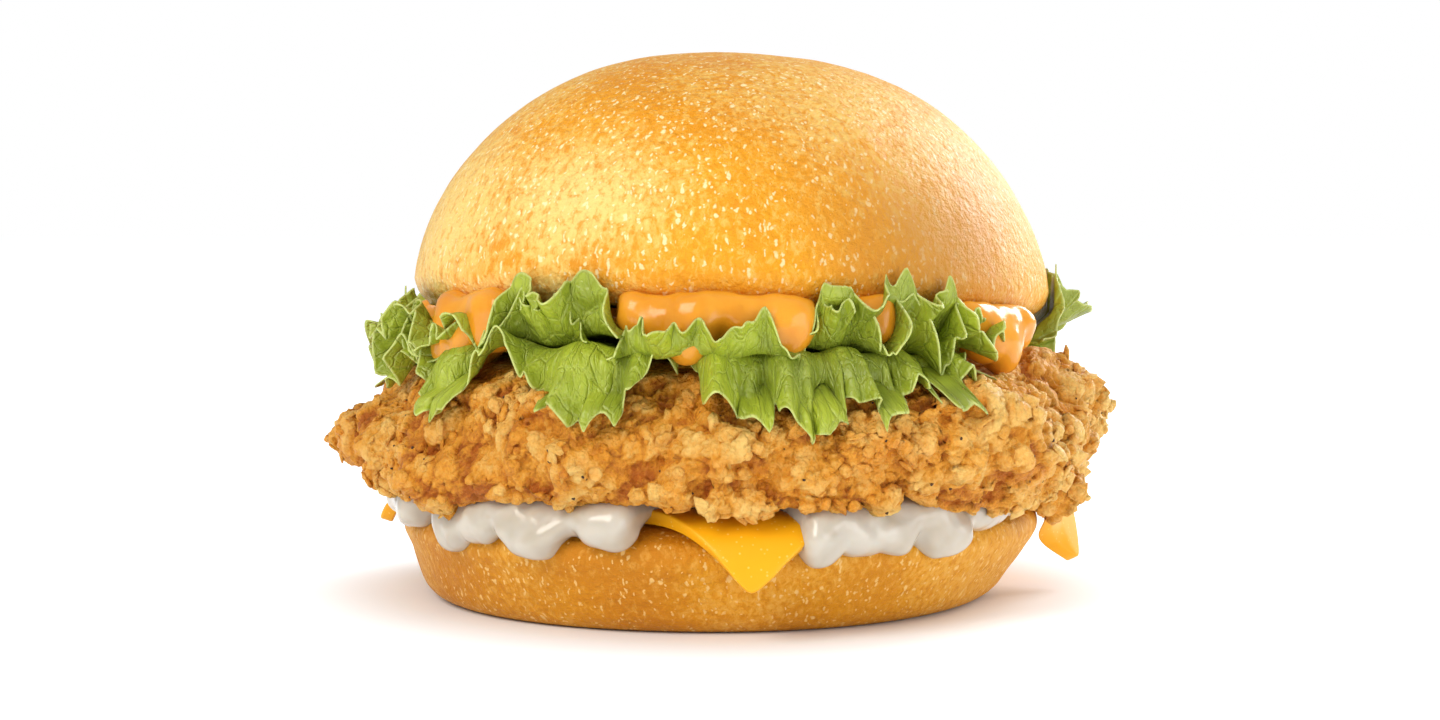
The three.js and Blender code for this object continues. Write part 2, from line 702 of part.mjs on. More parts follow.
// Moves points of a leaf out of the fillet, up or outwards, and then out of the crown.
function settle(points, fillet) {
  for (const p of points) {
    const radius = Math.hypot(p.x, p.y);
    const angle = (Math.atan2(p.y, p.x) * 180) / Math.PI;
    const up = fillet.top(p.x, p.y) + LEAF_CLEARANCE.up - p.z;
    const out = fillet.side(angle, p.z) + LEAF_CLEARANCE.out - radius;
    if (up > 0 && out > 0) {
      if (out < up || p.z < FILLET_TOP - 3) p.copy(polar(angle, radius + out, p.z));
      else p.z += up;
    }
    const q = p.clone().applyMatrix4(crownFrameInverse);
    const wall = CROWN_RADIUS + LEAF_CLEARANCE.crown - 3 * smooth(2, -2, q.z);
    const r = Math.hypot(q.x, q.y);
    if (q.z > -2 && r < wall) {
      const stretch = new THREE.Vector3(wall / r, wall / r, 1);
      p.copy(q.multiply(stretch).applyMatrix4(crownFrame));
    }
  }
}

// A closed thin solid from a sheet of points: each face is the sheet moved half a thickness.
function thicken(rows, thickness) {
  const columns = rows[0].length;
  const at = (i, j) => rows[clamp(i, 0, rows.length - 1)][clamp(j, 0, columns - 1)];
  const normalAt = (i, j) => {
    const along = at(i, j + 1).clone().sub(at(i, j - 1));
    const outward = at(i + 1, j).clone().sub(at(i - 1, j));
    return outward.cross(along).normalize();
  };
  const faces = [-0.5, 0.5].map((side) =>
    rows.flatMap((row, i) =>
      row.map((p, j) => p.clone().addScaledVector(normalAt(i, j), side * thickness)),
    ),
  );
  return closedMesh(faces.flat(), sheetTriangles(rows.length, columns));
}

// A sheet reaching a gap further at all four edges.
function widened(rows) {
  const beyond = (p, inner) => p.clone().add(p.clone().sub(inner).setLength(GAP));
  const wide = rows.map((row) => [
    beyond(row[0], row[1]),
    ...row.slice(1, -1),
    beyond(row.at(-1), row.at(-2)),
  ]);
  const first = wide[0].map((p, j) => beyond(p, rows[1][j]));
  const last = wide.at(-1).map((p, j) => beyond(p, rows.at(-2)[j]));
  return [first, ...wide.slice(1, -1), last];
}

function leafGeometries() {
  const fillet = probe(filletGeometry());
  return LEAVES.map((leaf, seed) => {
    const rows = leafSheet(leaf, seed);
    rows.forEach((row) => settle(row, fillet));
    return {
      name: leaf.name,
      solid: thicken(rows, LEAF_THICKNESS),
      room: thicken(widened(rows), LEAF_THICKNESS + 2 * GAP),
    };
  });
}

// Orange sauce: a bed under the crown that runs out over the lettuce at a few places.
const ORANGE_COLUMNS = 40;
const ORANGE_SPILLS = [
  [-149, -127],
  [-110, -95],
  [-94, -75],
  [-70, -62],
  [-49, -27],
  [20, 44],
  [84, 120],
  [150, 172],
];
const ORANGE_DRIPS = [
  [-143, 5, 7],
  [-134, 4, 3.6],
  [-104, 5, 2.4],
  [-97, 3.5, 4.8],
  [-88, 5, 1.4],
  [-80, 5, 4],
  [-66, 4, 1.4],
  [-41, 3, 3],
  [-36, 3, 4.6],
  [-30, 3, 1.6],
  [28, 5, 3],
  [38, 4, 5],
  [92, 6, 4],
  [106, 6, 5],
  [161, 6, 4],
];

function orangeSauceBlob() {
  const bed = 42;
  const blob = ringSolid(ORANGE_COLUMNS, (angle) => {
    const spill = Math.max(...ORANGE_SPILLS.map((range) => within(angle, range, 2)));
    const drip = dripLength(ORANGE_DRIPS, angle) * spill;
    const out = 51.6 + 0.5 * Math.sin(rad(angle * 11)) + 0.18 * drip;
    const low = -SAUCE_DEPTH - 0.4 - drip;
    return [
      [bed - 2, -SAUCE_DEPTH],
      [mix(bed - 1, 48, spill), mix(-SAUCE_DEPTH, low + 1, spill)],
      [mix(bed, out - 0.4, spill), mix(-SAUCE_DEPTH + 0.2, low, spill)],
      [mix(bed + 0.8, out + 1.6, spill), mix(-SAUCE_DEPTH + 0.8, low + 1.4, spill)],
      [mix(bed + 1, out + 2.2, spill), mix(-2, low + 2.8, spill)],
      [mix(bed + 0.8, out + 1.4, spill), mix(-1.2, -0.2, spill)],
      [mix(bed, out - 1, spill), mix(-GAP, 1.2, spill)],
      [bed - 2, -GAP],
    ];
  });
  return blob.applyMatrix4(crownFrame);
}

// The finished group
const burger = new THREE.Group();

function addPiece(name, geometry, finish) {
  const piece = new THREE.Mesh(geometry, new THREE.MeshStandardMaterial(finish));
  piece.name = name;
  burger.add(piece);
}

const leaves = leafGeometries();
const orangeCutters = [crownGeometry(GAP), filletGeometry(GAP), ...leaves.map((leaf) => leaf.room)];

addPiece("heel_bun", heelGeometry(), COLOURS.crust);
addPiece("cheese_slice", cheeseGeometry(), COLOURS.cheese);
addPiece("white_sauce", whiteSauceGeometry(), COLOURS.whiteSauce);
addPiece("chicken_fillet", filletGeometry(), COLOURS.batter);
for (const leaf of leaves) addPiece(leaf.name, leaf.solid, COLOURS.leaf);
addPiece("orange_sauce", cutBy(orangeSauceBlob(), orangeCutters), COLOURS.orangeSauce);
addPiece("crown_bun", crownGeometry(), COLOURS.crust);

export default burger;
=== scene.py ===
"""A chicken burger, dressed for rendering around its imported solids.

Everything is worked out in millimetres, +Z up, front at -Y, and turned to metres when a mesh is
made. Angles round the burger are in degrees from +X, so the front is at -90.
"""

from __future__ import annotations

import logging
import math
from dataclasses import dataclass, field
from enum import Enum
from itertools import product
from typing import Any

import bpy
import numpy as np
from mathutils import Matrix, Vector
from mathutils.bvhtree import BVHTree


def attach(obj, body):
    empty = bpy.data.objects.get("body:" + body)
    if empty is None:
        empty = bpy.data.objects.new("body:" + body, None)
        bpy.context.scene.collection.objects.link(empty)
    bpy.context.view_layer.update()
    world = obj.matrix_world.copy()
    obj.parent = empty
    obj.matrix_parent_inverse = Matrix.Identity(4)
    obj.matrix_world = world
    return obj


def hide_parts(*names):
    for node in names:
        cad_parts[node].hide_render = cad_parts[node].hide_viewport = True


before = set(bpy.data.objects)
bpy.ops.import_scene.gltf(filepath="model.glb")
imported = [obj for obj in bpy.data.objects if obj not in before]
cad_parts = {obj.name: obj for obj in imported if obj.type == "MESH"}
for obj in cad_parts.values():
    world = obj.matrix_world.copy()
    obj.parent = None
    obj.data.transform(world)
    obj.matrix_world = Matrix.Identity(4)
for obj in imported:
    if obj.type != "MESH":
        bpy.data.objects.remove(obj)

log = logging.getLogger("burger")

MM = 0.001
BODY = "root"

Points = np.ndarray
Faces = list[tuple[int, ...]]
Colour = tuple[float, float, float, float]
Dents = tuple[tuple[float, float, float], ...]
Patches = tuple[tuple[float, float, float, float, float], ...]


# Small mathematics


def mix(a: Any, b: Any, t: Any) -> Any:
    """Goes from a to b as t goes from 0 to 1."""
    return a + (b - a) * t


def smooth(low: float, high: float, x: Any) -> Any:
    """Rises softly from 0 to 1 as x goes from low to high."""
    t = np.clip((np.asarray(x, float) - low) / (high - low), 0, 1)
    return t * t * (3 - 2 * t)


def turn_between(a: Any, b: Any) -> Any:
    """Gives the signed angle from b to a, between -180 and 180 degrees."""
    return (a - b + 180) % 360 - 180


def chance(i: Any, j: Any, k: Any) -> Any:
    """Gives a number from 0 to 1 that looks random and is the same for the same three inputs."""
    x = np.sin(i * 127.1 + j * 311.7 + k * 74.7) * 43758.5453
    return x - np.floor(x)


def noise(x: Any, y: Any, z: Any) -> Any:
    """Gives smooth noise over space, with bumps about one unit apart.

    Args:
        x: Places to the right.
        y: Places to the back.
        z: Places up.

    Returns:
        Values from -1 to 1.
    """
    x, y, z = np.broadcast_arrays(x, y, z)
    cell = [np.floor(a) for a in (x, y, z)]
    parts = [a - c for a, c in zip((x, y, z), cell)]
    parts = [t * t * (3 - 2 * t) for t in parts]
    total = np.zeros(x.shape)
    for step in product((0, 1), repeat=3):
        weight = np.ones(x.shape)
        for side, part in zip(step, parts):
            weight = weight * (part if side else 1 - part)
        total += weight * chance(*(c + s for c, s in zip(cell, step)))
    return 2 * total - 1


def rough_noise(points: Points, size: float, seed: float = 0, octaves: int = 3) -> np.ndarray:
    """Gives noise with detail at several sizes.

    Args:
        points: Places in mm, with their three coordinates last.
        size: Distance between the largest bumps in mm.
        seed: Moves the pattern.
        octaves: Number of sizes, each half of the last.

    Returns:
        Values from about -1 to 1.
    """
    total = np.zeros(points.shape[:-1])
    for k in range(octaves):
        q = points / (size / 2**k) + seed + 7.3 * k
        total += noise(q[..., 0], q[..., 1], q[..., 2]) / 2**k
    return total / (2 - 2 ** (1 - octaves))


@dataclass(frozen=True)
class Cells:
    """Space split into irregular cells, one round each of a scatter of points."""

    near: np.ndarray  # distance to the nearest centre, in cells
    second: np.ndarray  # distance to the next nearest
    owner: np.ndarray  # a number from 0 to 1 that is the same all over a cell
    tilt: np.ndarray  # how far the point lies along its cell's own slope, in cells

    @classmethod
    def of(cls, points: Points, size: float, seed: float) -> Cells:
        """Finds the cell of each point.

        Args:
            points: Places in mm, with their three coordinates last.
            size: Mean distance between cell centres in mm.
            seed: Changes the scatter.

        Returns:
            The cells.
        """
        q = points / size
        home = np.floor(q)
        near = np.full(q.shape[:-1], 9.0)  # farther than any centre
        second = near.copy()
        owner = np.zeros(q.shape[:-1])
        tilt = owner.copy()
        for step in product((-1, 0, 1), repeat=3):
            cell = home + np.array(step)
            i, j, k = cell[..., 0] + seed, cell[..., 1], cell[..., 2]
            centre = cell + np.stack([chance(i, j, k), chance(j, k, i), chance(k, i, j)], -1)
            from_centre = q - centre
            away = np.linalg.norm(from_centre, axis=-1)
            closer = away < near
            second = np.where(closer, near, np.minimum(second, away))
            owner = np.where(closer, chance(i + 3, j, k), owner)
            slope = 2 * np.stack([chance(i, j, k + 5), chance(j + 5, k, i), chance(k, i + 5, j)], -1) - 1
            tilt = np.where(closer, (from_centre * slope).sum(-1), tilt)
            near = np.minimum(near, away)
        return cls(near, second, owner, tilt)


def polar(angle: Any, radius: Any, z: Any) -> Points:
    """Gives the point at an angle in degrees, a distance from the axis and a height."""
    turn = np.radians(angle)
    return np.stack(np.broadcast_arrays(radius * np.cos(turn), radius * np.sin(turn), z), -1)


def angle_of(points: Points) -> np.ndarray:
    """Gives the angle of points round the burger in degrees."""
    return np.degrees(np.arctan2(points[..., 1], points[..., 0]))


def from_axis(points: Points) -> np.ndarray:
    """Gives how far points are from the burger's axis."""
    return np.hypot(points[..., 0], points[..., 1])


def around(columns: int) -> np.ndarray:
    """Gives that many even angles round the burger."""
    return np.linspace(-180, 180, columns, endpoint=False)


def bumps(angle: Any, rows: Any, power: float) -> Any:
    """Gives the tallest of some bumps at each angle.

    Args:
        angle: Angles round the burger.
        rows: Middle, half width and height of each bump.
        power: How square-shouldered the bumps are.

    Returns:
        The height at each angle.
    """
    return np.max([height * np.exp(-((turn_between(angle, middle) / half) ** power))
                   for middle, half, height in rows], axis=0)


def curve_through(points: Any, count: int) -> np.ndarray:
    """Runs a smooth curve through points.

    Args:
        points: Rows of numbers that the curve passes, first and last included.
        count: Number of places wanted on it.

    Returns:
        That many rows, evenly spaced along the curve.
    """
    p = np.asarray(points, float)
    ends = np.vstack([2 * p[0] - p[1], p, 2 * p[-1] - p[-2]])
    pieces = []
    # A cubic runs from b to c, and takes its slopes from the points on either side
    for a, b, c, d in zip(ends, ends[1:], ends[2:], ends[3:]):
        t = np.linspace(0, 1, 12, endpoint=False)[:, None]
        pieces.append(
            0.5 * (2 * b + (c - a) * t + (2 * a - 5 * b + 4 * c - d) * t**2
                   + (3 * b - a - 3 * c + d) * t**3)
        )
    fine = np.vstack(pieces + [p[-1:]])
    run = np.concatenate([[0], np.cumsum(np.linalg.norm(np.diff(fine, axis=0), axis=1))])
    even = np.linspace(0, run[-1], count)
    return np.stack([np.interp(even, run, fine[:, k]) for k in range(p.shape[1])], -1)


# Meshes


def skin_faces(rings: int, columns: int) -> Faces:
    """Lists the faces of a closed skin over a stack of rings.

    Args:
        rings: Number of rings, from the lowest to the highest.
        columns: Points in a ring, anticlockwise from above.

    Returns:
        Faces that point outwards, for the lowest point, the rings and the highest point in turn.
    """
    i = np.arange(columns)
    j = (i + 1) % columns
    faces: Faces = [(0, 1 + b, 1 + a) for a, b in zip(i.tolist(), j.tolist())]
    for ring in range(rings - 1):
        low, high = 1 + ring * columns, 1 + (ring + 1) * columns
        faces += list(zip((low + i).tolist(), (low + j).tolist(), (high + j).tolist(), (high + i).tolist()))
    top = 1 + rings * columns
    last = 1 + (rings - 1) * columns
    return faces + [(top, last + a, last + b) for a, b in zip(i.tolist(), j.tolist())]


def sheet_faces(rows: int, columns: int) -> Faces:
    """Lists the faces of a thin closed sheet.

    Args:
        rows: Rows of points in each of its two sides.
        columns: Points in a row.

    Returns:
        Faces that point outwards, for the first side's points and then the second side's, where
        the second side is the one on the left of the way that the rows run.
    """

    def at(side: int, i: int, j: int) -> int:
        """Gives the number of a point."""
        return side * rows * columns + i * columns + j

    faces: Faces = []
    for i in range(rows - 1):
        for j in range(columns - 1):
            faces.append((at(1, i, j), at(1, i + 1, j), at(1, i + 1, j + 1), at(1, i, j + 1)))
            faces.append((at(0, i, j), at(0, i, j + 1), at(0, i + 1, j + 1), at(0, i + 1, j)))
    edge = [(i, 0, i + 1, 0) for i in range(rows - 1)]
    edge += [(i + 1, columns - 1, i, columns - 1) for i in range(rows - 1)]
    edge += [(0, j + 1, 0, j) for j in range(columns - 1)]
    edge += [(rows - 1, j, rows - 1, j + 1) for j in range(columns - 1)]
    return faces + [(at(0, i, j), at(0, k, m), at(1, k, m), at(1, i, j)) for i, j, k, m in edge]


def capped(bottom: Any, grid: Points, top: Any) -> Points:
    """Lists the points of a closed skin: the lowest, the rings from below, and the highest."""
    return np.vstack([[bottom], grid.reshape(-1, 3), [top]])


def make_object(
    name: str, points: Points, faces: Faces, material: bpy.types.Material | None = None
) -> bpy.types.Object:
    """Makes a smooth mesh object.

    Args:
        name: Its name.
        points: Its points in mm.
        faces: Its faces, pointing outwards.
        material: Its material.

    Returns:
        The object, linked to the scene.
    """
    mesh = bpy.data.meshes.new(name)
    mesh.from_pydata((points.reshape(-1, 3) * MM).tolist(), [], faces)
    mesh.shade_smooth()
    if material:
        mesh.materials.append(material)
    made = bpy.data.objects.new(name, mesh)
    bpy.context.scene.collection.objects.link(made)
    return made


def store(piece: bpy.types.Object, name: str, values: np.ndarray) -> None:
    """Keeps one number for each point of a mesh, by a name that a material can read."""
    attribute = piece.data.attributes.new(name, "FLOAT", "POINT")
    attribute.data.foreach_set("value", np.ascontiguousarray(values, np.float32).ravel())


def store_uv(piece: bpy.types.Object, places: np.ndarray) -> None:
    """Gives a mesh a UV map.

    Args:
        piece: The mesh object.
        places: One pair of numbers for each of its points.
    """
    corners = np.empty(len(piece.data.loops), np.int32)
    piece.data.loops.foreach_get("vertex_index", corners)
    uv = piece.data.uv_layers.new(name="UVMap")
    uv.data.foreach_set("uv", places.reshape(-1, 2)[corners].astype(np.float32).ravel())


def grid_normals(grid: Points, closed: bool) -> Points:
    """Gives the unit normals of a grid of points.

    Args:
        grid: Rows of points. They run anticlockwise and the rows go up for outward normals.
        closed: Whether each row is a loop.

    Returns:
        One normal for each point.
    """
    if closed:
        along = np.roll(grid, -1, 1) - np.roll(grid, 1, 1)
    else:
        along = np.gradient(grid, axis=1)
    up = np.gradient(grid, axis=0)
    normal = np.cross(along, up)
    return normal / np.maximum(np.linalg.norm(normal, axis=-1, keepdims=True), 1e-9)


def spread(field_values: np.ndarray, times: int, closed: bool) -> np.ndarray:
    """Softens values on a grid by averaging each with its neighbours.

    Args:
        field_values: Values on rows and columns, with any number of components last.
        times: How often to do it.
        closed: Whether each row is a loop.

    Returns:
        The softened values.
    """
    f = field_values
    for _ in range(times):
        if closed:
            sides = np.roll(f, 1, 1) + np.roll(f, -1, 1)
        else:
            wide = np.concatenate([f[:, :1], f, f[:, -1:]], 1)
            sides = wide[:, :-2] + wide[:, 2:]
        tall = np.concatenate([f[:1], f, f[-1:]], 0)
        # Half of the new value is the old one, and an eighth comes from each neighbour
        f = 0.5 * f + 0.125 * (sides + tall[:-2] + tall[2:])
    return f


# Finishes


Socket = bpy.types.NodeSocket
RGBA = {"data_type": "RGBA"}
SOFT = {"interpolation_type": "SMOOTHSTEP"}
MIX_A, MIX_B, MIXED = 6, 7, 2  # sockets of a colour mix


def linear(code: str) -> Colour:
    """Turns an sRGB hex colour such as #E0A050 to linear light."""
    parts = [int(code[i : i + 2], 16) / 255 for i in (1, 3, 5)]
    return (*[p / 12.92 if p <= 0.04045 else ((p + 0.055) / 1.055) ** 2.4 for p in parts], 1.0)


def per_metre(size: float) -> float:
    """Gives the texture scale, in Object coordinates, for a pattern of that size in mm."""
    return 1 / (size * MM)


def connect(tree: bpy.types.NodeTree, node: bpy.types.Node, inputs: dict[Any, Any]) -> None:
    """Sets or links a node's inputs.

    Args:
        tree: The tree that the node is in.
        node: The node.
        inputs: A value, an output socket or a node for each input, by name or number, where a
            node stands for its own first output.
    """
    for key, value in inputs.items():
        if isinstance(value, bpy.types.Node):
            value = value.outputs[0]
        if isinstance(value, Socket):
            tree.links.new(value, node.inputs[key])
        else:
            node.inputs[key].default_value = value


def add(
    tree: bpy.types.NodeTree,
    kind: str,
    settings: dict[str, Any] | None = None,
    inputs: dict[Any, Any] | None = None,
    stops: list[tuple[float, Colour]] | None = None,
) -> bpy.types.Node:
    """Adds a node with its settings and links.

    Args:
        tree: The tree that gets it.
        kind: Its type.
        settings: Its properties by name.
        inputs: A value, an output socket or a node for each input, by name or number.
        stops: The places and colours of a colour ramp.

    Returns:
        The node.
    """
    made = tree.nodes.new(kind)
    for key, value in (settings or {}).items():
        setattr(made, key, value)
    connect(tree, made, inputs or {})
    if stops:
        elements = made.color_ramp.elements
        while len(elements) < len(stops):
            elements.new(0.5)
        for element, (place, colour) in zip(elements, stops):
            element.position, element.color = place, colour
    return made


@dataclass
class Paint:
    """What a finish works out over its surface: a ground colour, the colours that lie over it and
    how much of each shows, the height of its fine relief, and any other input of the shader."""

    ground: Socket | Colour
    over: list[tuple[Any, str]] = field(default_factory=list)
    height: Any = None
    others: dict[str, Any] = field(default_factory=dict)


@dataclass(frozen=True)
class Finish:
    """What every finish has: a name, how rough, translucent and shiny its surface is, and the
    strength and the depth in mm of its fine relief."""

    name: str
    roughness: float
    depth: float = 1.0  # mm that light travels under the surface
    translucency: float = 0.1
    shine: float = 0.5
    relief: tuple[float, float] = (0.8, 0.8)

    def paint(self, tree: bpy.types.NodeTree, place: Socket) -> Paint:
        """Works out the finish over the surface, in Object coordinates. Each finish has its own."""
        raise NotImplementedError

    def make(self) -> bpy.types.Material:
        """Makes the finish's material.

        Returns:
            The material.
        """
        material = bpy.data.materials.new(self.name)
        material.use_nodes = True
        tree = material.node_tree
        surface = tree.nodes["Principled BSDF"]
        connect(tree, surface, {
            "Roughness": self.roughness, "Subsurface Weight": self.translucency,
            "Subsurface Radius": (1.0, 0.6, 0.35), "Subsurface Scale": self.depth * MM,
            "Specular IOR Level": self.shine})
        paint = self.paint(tree, add(tree, "ShaderNodeTexCoord").outputs["Object"])
        colour = paint.ground
        for share, over in paint.over:
            colour = add(tree, "ShaderNodeMix", RGBA,
                         {0: share, MIX_A: colour, MIX_B: linear(over)}).outputs[MIXED]
        connect(tree, surface, {"Base Color": colour, **paint.others})
        if paint.height is not None:
            strength, deep = self.relief
            bump = add(tree, "ShaderNodeBump", None,
                       {"Height": paint.height, "Strength": strength, "Distance": deep * MM})
            connect(tree, surface, {"Normal": bump})
        return material


@dataclass(frozen=True)
class BunCrust(Finish):
    """Crust of a soft potato bun, egg-washed and baked: golden, pale where steam has blistered
    the glaze into flecks, duller in colour at the foot where it rose against its neighbours."""

    relief: tuple[float, float] = (0.95, 0.6)
    gold: str = "#F1A406"
    amber: str = "#E49206"
    cream: str = "#F9D87A"
    foot: str = "#E2A640"
    brown: str = "#BE8330"
    fleck: str = "#FFECB4"
    grain: str = "#E08E08"
    foot_span: tuple[float, float] = (44.0, 50.0)  # heights in mm between which the foot ends
    fleck_share: float = 0.45  # of the places where a fleck could be
    # How far apart in mm each size of fleck is, and its radius as a share of that
    flecks: tuple[tuple[float, float], ...] = ((2.0, 0.22), (1.2, 0.26), (0.8, 0.3))

    def paint(self, tree: bpy.types.NodeTree, place: Socket) -> Paint:
        """Works out the glaze's mottle, grain and flecks, and the pores under it.

        Args:
            tree: The material's tree.
            place: The place on the piece.

        Returns:
            The paint.
        """
        broad = add(tree, "ShaderNodeTexNoise", None,
                    {"Vector": place, "Scale": per_metre(30), "Detail": 3.0, "Roughness": 0.5})
        glaze = add(tree, "ShaderNodeValToRGB", None, {"Fac": broad},
                    [(0.36, linear(self.amber)), (0.58, linear(self.gold))])
        upright = add(tree, "ShaderNodeMapping", None, {"Vector": place, "Scale": (1.0, 1.0, 0.5)})
        wander = add(tree, "ShaderNodeTexNoise", None,
                     {"Vector": place, "Scale": per_metre(1.6), "Detail": 2.0})
        streaks = add(tree, "ShaderNodeVectorMath", {"operation": "MULTIPLY_ADD"},
                      {0: wander.outputs["Color"], 1: (1.6 * MM,) * 3, 2: upright})
        fine = add(tree, "ShaderNodeTexNoise", None,
                   {"Vector": streaks, "Scale": per_metre(1.0), "Detail": 3.0, "Roughness": 0.65})
        pale = add(tree, "ShaderNodeTexNoise", None,
                   {"Vector": place, "Scale": per_metre(26), "Detail": 2.0, "Roughness": 0.45})
        where = add(tree, "ShaderNodeMapRange", SOFT, {"Value": pale, "From Min": 0.42, "From Max": 0.62})
        bloom = add(tree, "ShaderNodeAttribute", {"attribute_name": "bloom"}).outputs["Fac"]
        level = fine
        for patch, weight in ((where, 0.12), (bloom, 0.3)):
            level = add(tree, "ShaderNodeMath", {"operation": "MULTIPLY_ADD"},
                        {0: patch, 1: weight, 2: level})
        mottle = add(tree, "ShaderNodeMapRange", None,
                     {"Value": level, "From Min": 0.52, "From Max": 0.82, "To Max": 0.8})
        milky = add(tree, "ShaderNodeMath", {"operation": "MULTIPLY"}, {0: bloom, 1: 0.2})
        dark = add(tree, "ShaderNodeMapRange", None,
                   {"Value": fine, "From Min": 0.46, "From Max": 0.34, "To Max": 0.5})
        over = [(mottle, self.cream), (milky, self.fleck), (dark, self.grain)]
        for size, edge in self.flecks:
            spots = add(tree, "ShaderNodeTexVoronoi", None, {"Vector": streaks, "Scale": per_metre(size)})
            pick = add(tree, "ShaderNodeSeparateColor", None, {"Color": spots.outputs["Color"]})
            chosen = add(tree, "ShaderNodeMath", {"operation": "LESS_THAN"}, {0: pick, 1: self.fleck_share})
            spot = add(tree, "ShaderNodeMapRange", None,
                       {"Value": spots, "From Min": edge * 0.65, "From Max": edge,
                        "To Min": 0.85, "To Max": 0.0})
            fleck = add(tree, "ShaderNodeMath", {"operation": "MULTIPLY"}, {0: chosen, 1: spot})
            over.append((fleck, self.fleck))
        # Browner patches of the crown; the one on its right front is painted shade
        bake = add(tree, "ShaderNodeAttribute", {"attribute_name": "bake"}).outputs["Fac"]
        browned_and_shaded = add(tree, "ShaderNodeMath", {"operation": "MULTIPLY"}, {0: bake, 1: 0.85})
        height = add(tree, "ShaderNodeSeparateXYZ", None, {"Vector": place}).outputs["Z"]
        low, high = (z * MM for z in self.foot_span)
        foot = add(tree, "ShaderNodeMapRange", SOFT,
                   {"Value": height, "From Min": low, "From Max": high, "To Min": 0.6, "To Max": 0.0})
        pores = add(tree, "ShaderNodeTexNoise", None,
                    {"Vector": place, "Scale": per_metre(0.9), "Detail": 4.0, "Roughness": 0.6})
        skin = add(tree, "ShaderNodeTexNoise", None,
                   {"Vector": place, "Scale": per_metre(4.5), "Detail": 2.0})
        both = add(tree, "ShaderNodeMath", {"operation": "MULTIPLY_ADD"}, {0: skin, 1: 1.4, 2: pores})
        return Paint(glaze.outputs[0], [*over, (browned_and_shaded, self.brown), (foot, self.foot)], both)


@dataclass(frozen=True)
class FriedBatter(Finish):
    """Seasoned flour batter, deep-fried: pale gold on its crests and reddish brown in its crevices,
    partly its own tone and partly painted light on the crests and painted shade in the crevices,
    and a sandy grain all over."""

    relief: tuple[float, float] = (0.9, 0.8)
    crevice: str = "#B4600C"
    body: str = "#E69A28"
    crest: str = "#F9CB72"
    oily: str = "#E28A14"

    def paint(self, tree: bpy.types.NodeTree, place: Socket) -> Paint:
        """Works out the batter's tone by its relief, its oily patches and its grain.

        Args:
            tree: The material's tree.
            place: The place on the piece.

        Returns:
            The paint.
        """
        # The relief attribute also carries painted light on the fillet's right end and painted shade on its
        # left
        relief = add(tree, "ShaderNodeAttribute", {"attribute_name": "relief"}).outputs["Fac"]
        grain = add(tree, "ShaderNodeTexNoise", None,
                    {"Vector": place, "Scale": per_metre(0.7), "Detail": 4.0, "Roughness": 0.7})
        height = add(tree, "ShaderNodeMath", {"operation": "MULTIPLY_ADD"}, {0: grain, 1: 0.5, 2: relief})
        # The tone by relief is partly painted shade in the crevices and painted light on the crests
        tone = add(tree, "ShaderNodeValToRGB", None, {"Fac": height},
                   [(0.40, linear(self.crevice)), (0.66, linear(self.body)), (1.0, linear(self.crest))])
        patches = add(tree, "ShaderNodeTexNoise", None,
                      {"Vector": place, "Scale": per_metre(8.0), "Detail": 3.0, "Roughness": 0.6})
        oil = add(tree, "ShaderNodeMapRange", None,
                  {"Value": patches, "From Min": 0.54, "From Max": 0.72, "To Max": 0.55})
        wet = add(tree, "ShaderNodeMapRange", None,
                  {"Value": patches, "From Min": 0.5, "From Max": 0.75,
                   "To Min": self.roughness, "To Max": self.roughness - 0.25})
        sand = add(tree, "ShaderNodeTexVoronoi", None, {"Vector": place, "Scale": per_metre(0.9)})
        both = add(tree, "ShaderNodeMath", {"operation": "SUBTRACT"}, {0: grain, 1: sand})
        return Paint(tone.outputs[0], [(oil, self.oily)], both, {"Roughness": wet})


@dataclass(frozen=True)
class CreamySauce(Finish):
    """An oil and egg emulsion, squeezed on: smooth, wet and glossy, a little deeper in colour
    in soft swirls."""

    relief: tuple[float, float] = (0.4, 0.5)
    colour: str = "#C6BFB2"
    deep: str = "#B7AC9A"
    coat: float = 0.45  # how wet it is

    def paint(self, tree: bpy.types.NodeTree, place: Socket) -> Paint:
        """Works out the sauce's swirls and its soft waves.

        Args:
            tree: The material's tree.
            place: The place on the piece.

        Returns:
            The paint.
        """
        swirl = add(tree, "ShaderNodeTexNoise", None,
                    {"Vector": place, "Scale": per_metre(7.0), "Detail": 2.0, "Distortion": 0.6})
        tone = add(tree, "ShaderNodeValToRGB", None, {"Fac": swirl},
                   [(0.3, linear(self.deep)), (0.6, linear(self.colour))])
        flow = add(tree, "ShaderNodeTexNoise", None,
                   {"Vector": place, "Scale": per_metre(2.5), "Detail": 1.0})
        return Paint(tone.outputs[0], height=flow, others={"Coat Weight": self.coat, "Coat Roughness": 0.06})


@dataclass(frozen=True)
class ProcessedCheese(Finish):
    """Processed cheese, cast in a sheet: even orange-yellow and waxy, with tiny pale specks."""

    relief: tuple[float, float] = (0.2, 0.5)
    colour: str = "#F5B114"
    cloudy: str = "#F1A80E"
    speck: str = "#FCD36A"

    def paint(self, tree: bpy.types.NodeTree, place: Socket) -> Paint:
        """Works out the cheese's faint clouds and its specks.

        Args:
            tree: The material's tree.
            place: The place on the piece.

        Returns:
            The paint.
        """
        spots = add(tree, "ShaderNodeTexVoronoi", None, {"Vector": place, "Scale": per_metre(1.0)})
        speck = add(tree, "ShaderNodeMapRange", None,
                    {"Value": spots, "From Min": 0.1, "From Max": 0.22, "To Min": 0.6, "To Max": 0.0})
        cloud = add(tree, "ShaderNodeTexNoise", None,
                    {"Vector": place, "Scale": per_metre(9.0), "Detail": 2.0})
        return Paint(linear(self.colour), [(cloud, self.cloudy), (speck, self.speck)], cloud)


